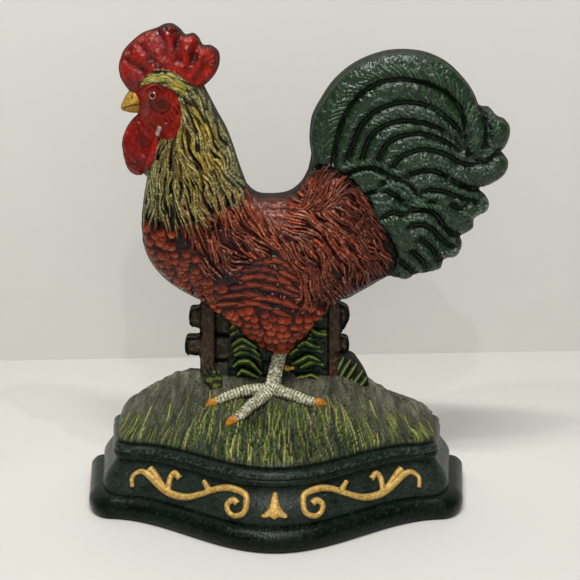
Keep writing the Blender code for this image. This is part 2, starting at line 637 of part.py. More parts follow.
def mound_plan(inset_more=0.0):
    """Half width and depth of the mound's foot on the bead."""
    side, front = top_insets()
    return (BASE_HALF_WIDTH - side + BEAD_ROLL - BEAD_SIDE_LEDGE - inset_more,
            BASE_DEPTH - front + BEAD_ROLL - BEAD_FRONT_LEDGE - inset_more)


def mound_height(x, y):
    """Height of the mound's surface above the table at a place in plan."""
    half_width, depth = mound_plan()
    reach = front_depth(half_width, depth, min(abs(x), half_width))
    along = 1 - min(max(-y / reach, 0), 1)
    rise = along * (1 + MOUND_FULLNESS * (1 - along))
    edge = bead_top() + CLEARANCE + MOUND_EDGE_RISE
    ripple = MOUND_RIPPLE * math.sin(2 * math.pi * x / MOUND_RIPPLE_PITCH) * math.sin(math.pi * along)
    return edge + (max(skyline(x), edge) - edge) * rise + ripple


def mound_grid(lift, inset_more, extra_rows):
    """A function from grid parameters to the mound's surface, with rows added behind the back plane."""
    half_width, depth = mound_plan(inset_more)

    def place(u, v):
        side = math.sin(math.pi / 2 * (2 * u - 1))
        reach = front_depth(half_width, depth, half_width * side)
        row = round(v * (MOUND_ROWS + extra_rows))
        y = -reach * (1 - row / MOUND_ROWS) if row <= MOUND_ROWS else BEHIND
        x = side * (half_width + MOUND_FLARE * max(0, 1 + min(y, 0) / END_DEPTH))
        return (x, y, mound_height(x, min(y, 0)) + lift)

    return place


def make_mound():
    """The grassy mound, a roof over the base's hollow, and the space kept clear above its surface."""
    floor = bead_top() + CLEARANCE
    shell = mound_grid(0, 0, 0)
    under = mound_grid(-WALL, WALL, 1)
    above = mound_grid(CLEARANCE, 0, 1)

    def flat(surface, z):
        return lambda u, v: (*surface(u, v)[:2], z)

    def cutter(name, surface, foot):
        mesh = block(name, MOUND_COLUMNS, MOUND_ROWS + 1, surface, flat(surface, foot))
        return add_object(name, mesh, CUTTERS)

    core = cutter("mound_core", under, floor - WALL)
    keep_out = cutter("mound_keep_out", above, 0)
    mesh = block("grass_mound", MOUND_COLUMNS, MOUND_ROWS, shell, flat(shell, floor))
    mound = add_element("grass_mound", mesh, "mound_green")
    boolean(mound, 'DIFFERENCE', core)
    return keep_out


def make_blocks():
    """The relief blocks that the elements of the front view are cut from."""
    depths = {"body": body_depth, "head": head_depth, "tail": tail_depth,
              "fence": lambda x, z: FENCE_DEPTH, "tuft": lambda x, z: TUFT_DEPTH,
              "leaf": lambda x, z: LEAF_DEPTH,
              "leg": lambda x, z: LEG_DEPTH - LEG_ROUNDING * (x - LEG_MIDDLE) ** 2}
    return {kind: relief_block(kind + "_block", kind, depth) for kind, depth in depths.items()}


def make_hollows():
    """The cores that leave the body and the tail open at the back."""
    def hollow(depth):
        return lambda x, z: max(depth(x, z) - WALL, SMALLEST_HOLLOW)

    cores = {}
    for kind, outline, depth in (("body", BODY_HOLLOW, body_depth), ("tail", TAIL_HOLLOW, tail_depth)):
        surface = relief_block(kind + "_core_block", kind, hollow(depth), BEHIND, HOLLOW_GRID)
        core = add_object(kind + "_core", prism(kind + "_core", raised(outline), -IN_FRONT, WALL), CUTTERS)
        boolean(core, 'INTERSECT', surface)
        cores[kind] = core
    return cores


def make_elements(blocks, hollows, mound_keep_out):
    """Every element of the front view, cut from its relief block."""
    made = {}
    for name, (kind, colour, steps) in ELEMENTS.items():
        outline = inset(trace(steps), CLEARANCE / 2)
        element = add_element(name, prism(name, outline, -IN_FRONT, 0), colour)
        boolean(element, 'INTERSECT', blocks[kind])
        if kind in hollows:
            boolean(element, 'DIFFERENCE', hollows[kind])
        if kind in STANDING_BLOCKS:
            boolean(element, 'DIFFERENCE', mound_keep_out)
        made[name] = element
    return made


def make_face_islands(face, body_block):
    """Ear lobe and eye, set in the face."""
    outline = raised(EAR_LOBE)
    hole = add_object("ear_hole", prism("ear_hole", outline, -IN_FRONT, WALL), CUTTERS)
    boolean(face, 'DIFFERENCE', hole)
    lobe = add_element("ear_lobe", prism("ear_lobe", inset(outline, CLEARANCE), -IN_FRONT, 0), "face_red")
    boolean(lobe, 'INTERSECT', body_block)
    x, z = EYE_CENTRE[0], EYE_CENTRE[1] + CREST_HEIGHT
    turns = [2 * math.pi * i / EYE_CORNERS for i in range(EYE_CORNERS)]
    reach = EYE_RADIUS + CLEARANCE
    ring = [(x + reach * math.cos(turn), z + reach * math.sin(turn)) for turn in turns]
    socket = add_object("eye_socket", prism("eye_socket", ring, -IN_FRONT, WALL), CUTTERS)
    boolean(face, 'DIFFERENCE', socket)
    eye = prism("eye", inset(ring, CLEARANCE), -body_depth(x, z) - EYE_RISE, 0)
    add_element("eye", eye, "eye_black")


def taper(radius):
    """Radii at the root, the middle and the tip of a pointed bar."""
    return (radius, radius * MIDDLE_SHARE, radius * TIP_SHARE)


def on_mound(place, lift):
    """A point a little above the mound's surface."""
    return Vector((place[0], place[1], mound_height(*place) + lift))


def make_foot(leg, keep_out):
    """Three toes joined to the leg, their claws, and the spur."""
    for side, (ankle, end) in TOES.items():
        run = (end[0] - ankle[0], end[1] - ankle[1])
        places = [(ankle[0] + run[0] * t, ankle[1] + run[1] * t) for t in TOE_STATIONS]
        radii = [TOE_RADIUS + (TOE_TIP_RADIUS - TOE_RADIUS) * t for t in TOE_STATIONS]
        points = [on_mound(place, TOE_LIFT) for place in places]
        toe = add_object(side + "_toe", tapered_tube(side + "_toe", points, radii, 2), CUTTERS)
        boolean(leg, 'UNION', toe)
        course = (points[-1] - points[-2]).normalized()
        start = points[-1] + course * CLEARANCE
        tip = start + course * CLAW_LENGTH
        name = "claw_" + side
        mesh = tapered_tube(name, (start, (start + tip) / 2, tip), taper(CLAW_RADIUS), 2)
        boolean(add_element(name, mesh, "claw_orange"), 'DIFFERENCE', keep_out)
    boolean(leg, 'DIFFERENCE', keep_out)
    xs, heights = zip(*reversed(LINES["leg_tuft"]))
    edge = float(np.interp(SPUR_HEIGHT, heights, xs)) + CLEARANCE / 2
    start = Vector((edge, -TUFT_DEPTH - CLEARANCE - SPUR_RADIUS, CREST_HEIGHT + SPUR_HEIGHT))
    tip = start + Vector((SPUR_LENGTH, 0, -SPUR_DROOP))
    spur = tapered_tube("spur", (start, (start + tip) / 2, tip), taper(SPUR_RADIUS), 2)
    add_element("spur", spur, "claw_orange")


def make_left_leaves(keep_out):
    """Three blades of grass from one root, in front of the left post's foot."""
    blades = []
    start = on_mound(LEAF_ROOT, 0)
    for tip, height in LEFT_LEAVES:
        end = on_mound(tip, height)
        middle = (start + end) / 2 + Vector((0, 0, LEAF_ARCH))
        blades.append(tapered_tube("blade", (start, middle, end), taper(LEAF_RADIUS)))
    leaves = add_element("grass_leaves_left", blades[0], "tuft_green")
    for number, blade in enumerate(blades[1:]):
        boolean(leaves, 'UNION', add_object(f"leaf_{number + 1}", blade, CUTTERS))
    boolean(leaves, 'DIFFERENCE', keep_out)


def apron_front(x, z):
    """The y of the apron's front surface at x and a height above the table."""
    heights, sides, fronts = zip(*apron_levels())
    half_width = BASE_HALF_WIDTH - float(np.interp(z, heights, sides))
    depth = BASE_DEPTH - float(np.interp(z, heights, fronts))
    return -front_depth(half_width, depth, x)


def apron_skin(name, grow):
    """The apron's outer form, grown by a distance."""
    sections = [plan_section(ends, bow_front, z) for z, ends, bow_front in apron_levels(grow)]
    return add_object(name, loft(name, sections), CUTTERS)


def make_gilding():
    """The two scrolls and the motif between them, raised on the apron."""
    keep_out = apron_skin("apron_keep_out", CLEARANCE)
    out = SCROLL_RADIUS - SCROLL_SINK
    reach = BASE_HALF_WIDTH - PLINTH_SIDE_STEP - SCROLL_MARGIN
    for name, mirror in (("scroll_left", 1), ("scroll_right", -1)):
        strokes = []
        for points, start, end in SCROLL_STROKES:
            shares = [i / (len(points) - 1) for i in range(len(points))]
            flat = [(x * reach * mirror, PLINTH_HEIGHT + z * APRON_HEIGHT) for x, z in points]
            places = [(x, apron_front(x, z) - out, z) for x, z in flat]
            radii = [SCROLL_RADIUS * (start + (end - start) * share) for share in shares]
            strokes.append(tapered_tube("stroke", places, radii))
        scroll = add_element(name, strokes[0], "gilt")
        for number, stroke in enumerate(strokes[1:]):
            boolean(scroll, 'UNION', add_object(f"{name}_leaf_{number + 1}", stroke, CUTTERS), bends=True)
        boolean(scroll, 'DIFFERENCE', keep_out, bends=True)
    face = apron_front(0, PLINTH_HEIGHT + APRON_HEIGHT / 2)
    right = [(x, z + PLINTH_HEIGHT) for x, z in MOTIF_HALF]
    left = [(-x, z) for x, z in reversed(right[1:-1])]
    mesh = prism("centre_motif", right + left, face - BEHIND, face + BEHIND)
    motif = add_element("centre_motif", mesh, "gilt")
    boolean(motif, 'INTERSECT', apron_skin("motif_skin", MOTIF_RISE))
    boolean(motif, 'DIFFERENCE', keep_out)


def centre_on_floor():
    """Move the root so that the origin is the middle of the bounding box's underside."""
    bpy.context.view_layer.update()
    graph = bpy.context.evaluated_depsgraph_get()
    corners = []
    for element in DOORSTOP.objects:
        evaluated = element.evaluated_get(graph)
        corners.extend(evaluated.matrix_world @ Vector(corner) for corner in evaluated.bound_box)
    low = Vector(min(corner[i] for corner in corners) for i in range(3))
    high = Vector(max(corner[i] for corner in corners) for i in range(3))
    ROOT.location = (-(low.x + high.x) / 2, -(low.y + high.y) / 2, -low.z)


clear_scene()
DOORSTOP = collection("doorstop")
CUTTERS = collection("cutters")
ROOT = bpy.data.objects.new("root", None)
bpy.context.scene.collection.objects.link(ROOT)

make_base()
MOUND_KEEP_OUT = make_mound()
BLOCKS = make_blocks()
PARTS = make_elements(BLOCKS, make_hollows(), MOUND_KEEP_OUT)
make_face_islands(PARTS["face"], BLOCKS["body"])
make_foot(PARTS["leg_and_foot"], MOUND_KEEP_OUT)
make_left_leaves(MOUND_KEEP_OUT)
make_gilding()
centre_on_floor()
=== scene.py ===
"""Painted cast iron rooster doorstop, with its looks from the photo. Lengths are in mm in a drawing frame:
x to the right, y back from the viewer with the flat back at 0, z up from the table."""
import itertools
import math
import bmesh
import bpy
import numpy as np
from mathutils import Matrix, Vector
from mathutils.geometry import delaunay_2d_cdt


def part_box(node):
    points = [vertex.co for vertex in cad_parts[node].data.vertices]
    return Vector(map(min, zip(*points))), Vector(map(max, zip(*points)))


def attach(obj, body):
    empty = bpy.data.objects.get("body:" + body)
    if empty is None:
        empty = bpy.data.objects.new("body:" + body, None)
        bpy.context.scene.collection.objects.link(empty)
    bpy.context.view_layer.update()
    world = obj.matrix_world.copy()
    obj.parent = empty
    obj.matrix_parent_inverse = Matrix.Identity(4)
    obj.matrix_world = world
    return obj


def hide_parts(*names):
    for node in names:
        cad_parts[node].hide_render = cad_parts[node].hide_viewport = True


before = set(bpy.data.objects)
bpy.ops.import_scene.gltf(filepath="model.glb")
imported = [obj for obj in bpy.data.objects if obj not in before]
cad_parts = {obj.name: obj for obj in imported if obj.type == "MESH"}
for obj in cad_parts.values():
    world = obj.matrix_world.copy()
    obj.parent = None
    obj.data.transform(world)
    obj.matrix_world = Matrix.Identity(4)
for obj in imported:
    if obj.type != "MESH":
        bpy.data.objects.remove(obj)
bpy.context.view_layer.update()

MM = 0.001
LOW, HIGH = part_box("plinth")
ORIGIN = np.array([(LOW.x + HIGH.x) / 2, HIGH.y, 0.0])
RNG = np.random.default_rng(7)

# Main sizes, as in the part
WALL = 5.0
HALF_WIDTH, DEPTH, SHOULDER, END = 94.5, 84.5, 51.0, 33.0
BOW_SPAN, CORNER_RUN, END_FLARE = 85.0, 12.5, 4.0
PLINTH_H, APRON_H, BEAD_H = 11.0, 15.0, 8.0
CREST = 61.5
# How much of the front's draft the shoulders and the ends take up
SHOULDER_SHARE, END_SHARE = 0.7, 0.2
# How far the apron's face and its top are set in from the plinth's, at the sides and in front
PLINTH_SIDE, PLINTH_FRONT, APRON_SIDE, APRON_FRONT = 7.0, 7.5, 7.5, 10.0
BEAD_ROLL, BEAD_SEAT, LEDGE_SIDE, LEDGE_FRONT = 1.8, 2.2, 2.0, 4.6
# For each form, the depth of its rim, the rise from it and the run of the rise
HEAD_FORM, TAIL_FORM, BODY_FORM, BELLY_FORM = (6.5, 7, 18), (7, 6.5, 14), (7, 16, 40), (15.5, 8, 16)
BELLY_BLEND, BELLY_DIP, HEAD_BLEND, TAIL_BLEND = 6, 1.5, 6, 16
FENCE_DEPTH, TUFT_DEPTH, BLADE_DEPTH = 6.5, 7.5, 10.0

# The photo's camera
IMAGE_SIDE = 580
IMAGE_MIDDLE = 290
FOCAL = 1264.9
EYE_POINT = np.array([9.094, -607.996, 305.5])
FORWARD = np.array([-0.003312, 0.94868, -0.31623])
FORWARD /= np.linalg.norm(FORWARD)
RIGHT = np.cross(FORWARD, [0, 0, 1])
RIGHT /= np.linalg.norm(RIGHT)
UP = np.cross(RIGHT, FORWARD)
# Between what distances from the camera the mound is looked for, and from what depth the relief is
NEAREST, FARTHEST, HALVINGS = 480.0, 720.0, 30
FIRST_DEPTH, LOOKS = 12.0, 5

# Lines of the front view: x from the base's middle, height from the mound's crest
LINES = {
    "comb_edge": [
        (-69.5, 143.6), (-71.5, 146.5), (-73.5, 150.5), (-74, 155), (-73, 159), (-70.8, 163.5), (-66, 168),
        (-61.9, 170.6), (-56.1, 172.5), (-52.3, 174.3), (-48.6, 174.4), (-45.2, 172.2), (-42.6, 169.5),
        (-38.9, 170), (-36.4, 168), (-34.4, 164.6), (-30.7, 164.3), (-27.5, 162), (-26.5, 158.8),
        (-27.2, 154), (-30, 149.7), (-34.5, 145.5)],
    "comb_foot": [
        (-64, 146), (-61, 151), (-56, 154.5), (-51, 154.5), (-46, 152.5), (-41.5, 149), (-38, 146.8),
        (-34.5, 145.5)],
    "comb_face": [(-66, 143), (-64, 146)],
    "beak_comb": [(-69.5, 143.6), (-66, 143)],
    "beak_edge": [
        (-69.5, 143.6), (-71.3, 141.3), (-73, 138), (-73.8, 135.8), (-72.8, 134.2), (-69, 133.3),
        (-65.5, 133)],
    "beak_face": [(-66, 143), (-65, 140.5), (-64.5, 137.5), (-65.5, 133)],
    "chin": [(-65.5, 133), (-67, 131)],
    "wattle_edge": [
        (-67, 131), (-70.5, 127.5), (-73, 122.5), (-74, 118), (-73.5, 112.5), (-72, 106.5), (-69.5, 103.5),
        (-66, 102.5), (-64, 103.5)],
    "wattle_back": [(-64, 103.5), (-60.5, 107), (-58, 111), (-56.5, 117), (-55.5, 122.5)],
    "wattle_face": [(-67, 131), (-61.5, 127.5), (-55.5, 122.5)],
    "face_hackle": [
        (-55.5, 122.5), (-50.5, 122.5), (-47, 124.5), (-44.5, 129), (-44, 136), (-45, 141.5), (-48, 146),
        (-53, 148.5), (-59, 148), (-64, 146)],
    "throat": [(-64, 103.5), (-62.5, 101.5), (-64, 93.5), (-65.3, 85), (-66, 78)],
    "nape": [(-34.5, 145.5), (-31.8, 140), (-28, 132.5), (-24, 125), (-21, 117), (-17.6, 106), (-14.4, 97)],
    "hackle_hem_front": [(-66, 78), (-60, 74), (-50, 72), (-40, 73.5), (-31, 77.5)],
    "hackle_hem_back": [(-31, 77.5), (-23.5, 84), (-18.5, 90.5), (-14.4, 97)],
    "breast_edge": [
        (-66, 78), (-65.5, 69.5), (-63.5, 62), (-59.5, 55), (-54, 49), (-48, 44.5), (-42, 41), (-38, 39)],
    "breast_saddle": [(-31, 77.5), (-33, 69), (-33, 61), (-31, 54.5)],
    "wing_front": [(-31, 54.5), (-28, 48), (-22, 43)],
    "wing_foot": [(-22, 43), (-12, 37), (0, 34), (11, 34), (20, 38.5)],
    "wing_top": [(-31, 54.5), (-27, 62), (-18, 67), (-6, 67), (6, 61), (14, 51.5), (20, 38.5)],
    "thigh_front": [(-22, 43), (-24, 38), (-25, 32.5)],
    "thigh_back": [(20, 38.5), (24, 34)],
    "belly_fence_left": [(-38, 39), (-31, 36), (-25, 32.5)],
    "belly_tuft_left": [(-25, 32.5), (-19.5, 27), (-12, 20), (-1.5, 13)],
    "belly_leg": [(-1.5, 13), (6.5, 13.5)],
    "belly_tuft_right": [(6.5, 13.5), (13, 21), (18.5, 27.5), (24, 34)],
    "belly_fence_right": [(24, 34), (31, 39)],
    "rump": [(31, 39), (35.6, 39.8), (41.5, 43.2), (47, 46.4), (51.5, 49.3), (55.5, 51.5)],
    "back": [
        (-14.4, 97), (-11.5, 94), (-8, 92.3), (-4, 91.9), (0, 92), (4, 92.5), (7.5, 93.8), (10.5, 96),
        (13.2, 99), (15.8, 104)],
    "tail_root_upper": [(15.8, 104), (21, 107), (27.6, 107)],
    "tail_root_middle": [(27.6, 107), (33, 103.5)],
    "tail_root_lower": [(33, 103.5), (36.5, 100.5), (41.8, 93.8)],
    "tail_root_foot": [
        (41.8, 93.8), (45, 90.5), (45.8, 84.5), (52, 76.3), (56.5, 68.8), (58.5, 61), (55.5, 51.5)],
    "sickle_edge": [
        (15.8, 104), (17.3, 112), (16.4, 120), (17.2, 129), (19, 134), (21.5, 138.5), (25, 144.2),
        (28.5, 148.6), (33, 152.8), (37.5, 156), (42.5, 158.6), (47.8, 160.6), (53.5, 162), (59.7, 162.5),
        (66, 162.2), (71.5, 161.2), (76.5, 159.4), (81, 157), (85, 154), (89, 150), (92, 146.5),
        (95, 141.5), (97, 136.5)],
    "sickle_inner": [
        (27.6, 107), (29, 117.5), (32, 130), (36.5, 138.5), (43.5, 145), (53.5, 149), (64.5, 149.2),
        (75, 146.5), (83.5, 141), (89, 132), (90.5, 121.5), (92.5, 115), (97.3, 110.8)],
    "sickle_end": [(97.3, 110.8), (99.5, 115.5), (100.8, 122), (100.6, 128), (99.3, 132.5), (97, 136.5)],
    "tips_edge": [
        (97, 136.5), (99.5, 135.3), (103, 134.8), (106.8, 130.8), (111, 128.8), (112.5, 125), (112, 120.5),
        (110.5, 117), (108.2, 114.3)],
    "tips_foot": [(108.2, 114.3), (102.7, 111.2), (97.3, 110.8)],
    "inner_edge": [(108.2, 114.3), (111.3, 111.8), (112.6, 108), (110.3, 102.5), (104.5, 98.5), (99, 96.6)],
    "inner_foot": [
        (33, 103.5), (37.5, 105.6), (43, 107.2), (49.3, 106.5), (55, 103.4), (60.5, 101.5), (65.5, 104.4),
        (71.5, 106), (77, 105.4), (83, 103), (91.5, 98), (99, 96.6)],
    "middle_edge": [
        (99, 96.6), (100.1, 94), (103.8, 90.3), (103.3, 85.1), (97.4, 81.2), (96.6, 76), (90.7, 72.3)],
    "middle_foot": [
        (41.8, 93.8), (48, 95.6), (54.5, 95.4), (60.3, 91.7), (66.2, 87.7), (75, 85.7), (79, 82.5),
        (81.6, 78.6), (85, 75.6), (90.7, 72.3)],
    "lower_edge": [
        (90.7, 72.3), (91.8, 67.7), (89.3, 62), (83.3, 60.2), (81.6, 55.6), (76.2, 53.7), (69.5, 52.5),
        (65, 50), (58, 51.2), (55.5, 51.5)],
    "post_left_edge": [
        (-38, 39), (-38.3, 33.5), (-43.5, 33.5), (-44.3, 29), (-43.8, 23.3), (-38.6, 23), (-38.8, 18),
        (-46, 18), (-46.8, 13), (-46.3, 8), (-39, 7.8), (-39.3, -14)],
    "fence_tuft_left": [(-25, 32.5), (-24, 22), (-24.5, 8), (-26, -14)],
    "tuft_leg": [(-1.5, 13), (-2, 5), (-2.8, -3), (-3.5, -14)],
    "leg_tuft": [(6.5, 13.5), (5.6, 5), (5, -3), (4.5, -14)],
    "tuft_fence_right": [(24, 34), (25.5, 22), (26, 8), (27, -14)],
    "post_right_edge": [
        (31, 39), (31.7, 36), (36.5, 33.8), (37.5, 29.5), (36, 25), (33, 20), (32, 18), (36, 17.8),
        (37.3, 15.5), (37, 9.5), (31.5, 9)],
    "fence_leaves": [(31.5, 9), (31.5, -14)],
    "leaves_edge": [(31.5, 9), (36, 8.8), (39.5, 7.5), (42.5, 3.5), (45.5, -1.5), (47.5, -7), (48, -14)],
}
STRAIGHT = ("fence_tuft_left", "tuft_leg", "leg_tuft", "tuft_fence_right", "fence_leaves")
WORN = ("post_left_edge", "post_right_edge")
ELEMENTS = {
    "breast": ("body", "feather_red", [
        "hackle_hem_front", "breast_saddle", "wing_front", "thigh_front", "-belly_fence_left",
        "-breast_edge"]),
    "thigh": ("body", "feather_red", [
        "-thigh_front", "wing_foot", "thigh_back", "-belly_tuft_right", "-belly_leg", "-belly_tuft_left"]),
    "wing": ("body", "feather_red", ["wing_top", "-wing_foot", "-wing_front"]),
    "saddle": ("body", "feather_red", [
        "hackle_hem_back", "back", "tail_root_upper", "tail_root_middle", "tail_root_lower",
        "tail_root_foot", "-rump", "-belly_fence_right", "-thigh_back", "-wing_top", "-breast_saddle"]),
    "hackle": ("body", "hackle_olive", [
        "comb_foot", "nape", "-hackle_hem_back", "-hackle_hem_front", "-throat", "wattle_back",
        "face_hackle"]),
    "face": ("body", "face_red", ["comb_face", "-face_hackle", "-wattle_face", "-chin", "-beak_face"]),
    "beak": ("head", "beak_ochre", ["beak_comb", "beak_face", "-beak_edge"]),
    "comb": ("head", "comb_red", ["comb_edge", "-comb_foot", "-comb_face", "-beak_comb"]),
    "wattle": ("head", "comb_red", ["wattle_face", "-wattle_back", "-wattle_edge"]),
    "tail_sickle": ("tail", "tail_green", [
        "sickle_edge", "-sickle_end", "-sickle_inner", "-tail_root_upper"]),
    "tail_tips": ("tail", "tail_green", ["tips_edge", "tips_foot", "sickle_end"]),
    "tail_inner_plumes": ("tail", "tail_green", [
        "sickle_inner", "-tips_foot", "inner_edge", "-inner_foot", "-tail_root_middle"]),
    "tail_middle_plumes": ("tail", "tail_green", [
        "inner_foot", "middle_edge", "-middle_foot", "-tail_root_lower"]),
    "tail_lower_plumes": ("tail", "tail_green", ["middle_foot", "lower_edge", "-tail_root_foot"]),
    "fence_left": ("fence", "fence_brown", ["belly_fence_left", "fence_tuft_left", "-post_left_edge"]),
    "fence_right": ("fence", "fence_brown", [
        "belly_fence_right", "post_right_edge", "fence_leaves", "-tuft_fence_right"]),
    "grass_tuft_left": ("tuft", "tuft_green", ["belly_tuft_left", "tuft_leg", "-fence_tuft_left"]),
    "grass_tuft_right": ("tuft", "tuft_green", ["belly_tuft_right", "tuft_fence_right", "-leg_tuft"]),
    "grass_leaves_right": ("leaf", "tuft_green", ["leaves_edge", "-fence_leaves"]),
    "leg_and_foot": ("leg", "leg_grey", ["belly_leg", "leg_tuft", "-tuft_leg"]),
}
EAR_LOBE = [
    (-54.5, 128.5), (-51, 126.8), (-48, 128), (-46.2, 131.5), (-46, 135.5), (-48.5, 134), (-50.5, 131.5)]
EYE_CENTRE = (-57.2, 143.2)
MOUND_SKYLINE = [
    (-86, -29.5), (-82, -27), (-77, -19), (-68, -12), (-62, -8.5), (-56, -5), (-49, -1.8), (-40, -1.2),
    (-30, -0.5), (0, 0), (36, 0), (45, -5), (58, -12.5), (70, -17.5), (78, -22), (84, -28.5)]
TOES = {"left": [(272, 391), (256, 393.5), (238, 397), (224, 401), (217, 403.5)],
        "middle": [(272, 392), (262, 401), (250, 410.5), (241, 418), (236.3, 420.5)],
        "right": [(273, 391), (284, 396.5), (297, 401), (308, 404), (314.5, 404.5)]}
BODY_RIMS = ("chin", "throat", "breast_edge", "nape", "back", "rump", "beak_edge", "comb_edge")
BELLY_RIMS = ("belly_fence_left", "belly_tuft_left", "belly_leg", "belly_tuft_right", "belly_fence_right")
HEAD_RIMS = ("comb_edge", "wattle_edge", "beak_edge")
TAIL_RIMS = ("sickle_edge", "tips_edge", "inner_edge", "middle_edge", "lower_edge")
HEAD_SEAMS = ("comb_foot", "comb_face", "beak_face", "wattle_face", "wattle_back")
ROOT_SEAMS = ("tail_root_upper", "tail_root_middle", "tail_root_lower", "tail_root_foot")


def paint(red, green, blue):
    """A colour from display values of 0 to 255."""
    return (np.array([red, green, blue]) / 255.0) ** 2.2


def ease(value):
    """Smooth step from 0 to 1."""
    t = np.clip(value, 0, 1)
    return t * t * (3 - 2 * t)


def mix(first, second, share):
    """Blend of two values or colours."""
    first, share = np.asarray(first), np.asarray(share)
    if first.shape[-1:] == (3,) and share.shape != first.shape:
        share = share[..., None]
    return first + (second - first) * share


def grain(places, size, seed=0):
    """Smooth noise from -1 to 1 at places in a plane or in space."""
    q = np.asarray(places, float) / size
    cell = np.floor(q).astype(np.int64)
    f = ease(q - cell)
    primes = (73856093, 19349663, 83492791)
    total = np.zeros(len(q))
    for corner in itertools.product((0, 1), repeat=q.shape[1]):
        c = cell + np.array(corner)
        mixed = seed * 7919 + sum(c[:, i] * prime for i, prime in zip(range(q.shape[1]), primes))
        mixed = (mixed ^ (mixed >> 13)) * 1274126177 & 0x7FFFFFFF
        mixed = (mixed ^ (mixed >> 15)) * 668265263 & 0x7FFFFFFF
        value = (mixed & 0xFFFF) / 32767.5 - 1
        weight = np.prod([f[:, i] if bit else 1 - f[:, i] for i, bit in enumerate(corner)], axis=0)
        total += weight * value
    return total


def smooth(line, step=0.5):
    """A fine line through points."""
    p = np.array(line, float)
    a = np.vstack([2 * p[0] - p[1], p, 2 * p[-1] - p[-2]])
    out = []
    for p0, p1, p2, p3 in zip(a, a[1:], a[2:], a[3:]):
        n = max(1, math.ceil(np.linalg.norm(p2 - p1) / step))
        t = (np.arange(n) / n)[:, None]
        out.append(0.5 * (2 * p1 + (p2 - p0) * t + (2 * p0 - 5 * p1 + 4 * p2 - p3) * t ** 2
                          + (3 * p1 - p0 - 3 * p2 + p3) * t ** 3))
    return np.vstack(out + [p[-1:]])


def straight(line, step=0.5):
    """A fine line with straight runs between points."""
    p = np.array(line, float)
    out = []
    for a, b in zip(p, p[1:]):
        n = max(1, math.ceil(np.linalg.norm(b - a) / step))
        out.append(a + (b - a) * (np.arange(n) / n)[:, None])
    return np.vstack(out + [p[-1:]])


def rounded(line):
    """A fine line with straight runs and worn corners."""
    p = straight(line)
    q = np.vstack([p[:1]] * 4 + [p] + [p[-1:]] * 4)
    soft = sum(q[i:i + len(p)] for i in range(9)) / 9
    soft[0], soft[-1] = p[0], p[-1]
    return soft


def fine_line(name):
    """A named line in fine steps, at its height above the table."""
    draw = rounded if name in WORN else straight if name in STRAIGHT else smooth
    return draw(np.array(LINES[name], float) + (0, CREST))


FINE = {name: fine_line(name) for name in LINES}


def trace(steps):
    """Closed outline of an element."""
    parts = []
    for step in steps:
        line = FINE[step.lstrip("-")]
        parts.append(line[::-1][:-1] if step.startswith("-") else line[:-1])
    return np.vstack(parts)


def line_distance(places, lines):
    """Distance from places to the nearest of some lines."""
    start = np.vstack([line[:-1] for line in lines])
    run = np.vstack([line[1:] - line[:-1] for line in lines])
    square = np.maximum(np.sum(run * run, axis=1), 1e-12)
    best = np.empty(len(places))
    for i in range(0, len(places), 2000):
        dx = places[i:i + 2000, :1] - start[:, 0]
        dz = places[i:i + 2000, 1:] - start[:, 1]
        t = np.clip((dx * run[:, 0] + dz * run[:, 1]) / square, 0, 1)
        best[i:i + 2000] = np.sqrt(np.min((dx - t * run[:, 0]) ** 2 + (dz - t * run[:, 1]) ** 2, axis=1))
    return best


def inside(places, outline):
    """Which places lie inside a closed outline."""
    result = np.zeros(len(places), bool)
    for (x0, z0), (x1, z1) in zip(outline, np.roll(outline, -1, axis=0)):
        if z0 != z1:
            crosses = (places[:, 1] < z0) != (places[:, 1] < z1)
            result ^= crosses & (places[:, 0] < x0 + (places[:, 1] - z0) * (x1 - x0) / (z1 - z0))
    return result


FIELD_LOW = np.array([-85.0, 40.0])
FIELD_CELL, FIELD_NODES = 0.8, 260


class Field:
    """Distance to some lines, kept on a grid."""

    def __init__(self, names):
        xs, zs = (low + FIELD_CELL * np.arange(FIELD_NODES) for low in FIELD_LOW)
        grid = np.array(np.meshgrid(xs, zs)).reshape(2, -1).T
        lines = [FINE[name][::3] if len(FINE[name]) > 9 else FINE[name] for name in names]
        lines = [np.vstack([line, FINE[name][-1:]]) for line, name in zip(lines, names)]
        self.grid = line_distance(grid, lines).reshape(FIELD_NODES, FIELD_NODES)

    def __call__(self, places):
        return bilinear(self.grid, (places - FIELD_LOW) / FIELD_CELL)


def bilinear(grid, q):
    """Values of a grid between its nodes, at columns and rows."""
    rows, columns = grid.shape[:2]
    q = np.clip(q, 0, np.array([columns, rows]) - 1.001)
    i = q.astype(int)
    f = q - i
    fx, fz = f[:, 0], f[:, 1]
    if grid.ndim == 3:
        fx, fz = fx[:, None], fz[:, None]
    x, z = i[:, 0], i[:, 1]
    return ((grid[z, x] * (1 - fx) + grid[z, x + 1] * fx) * (1 - fz)
            + (grid[z + 1, x] * (1 - fx) + grid[z + 1, x + 1] * fx) * fz)


TO_BODY, TO_BELLY, TO_HEAD = Field(BODY_RIMS), Field(BELLY_RIMS), Field(HEAD_RIMS)
TO_TAIL, TO_SEAM, TO_ROOT = Field(TAIL_RIMS), Field(HEAD_SEAMS), Field(ROOT_SEAMS)


def risen(form, distance):
    """Depth of a form that rises in a quarter round from its rims."""
    rim, height, run = form
    return rim + height * np.sqrt(np.maximum(0, 1 - (1 - np.minimum(distance / run, 1)) ** 2))


def levelled(depth, beside, distance, run):
    """A depth drawn down to the one beside it where they meet."""
    return np.where(depth > beside, beside + (depth - beside) * ease(distance / run), depth)


def head_depth(p):
    return risen(HEAD_FORM, TO_HEAD(p))


def tail_depth(p):
    return risen(TAIL_FORM, TO_TAIL(p))


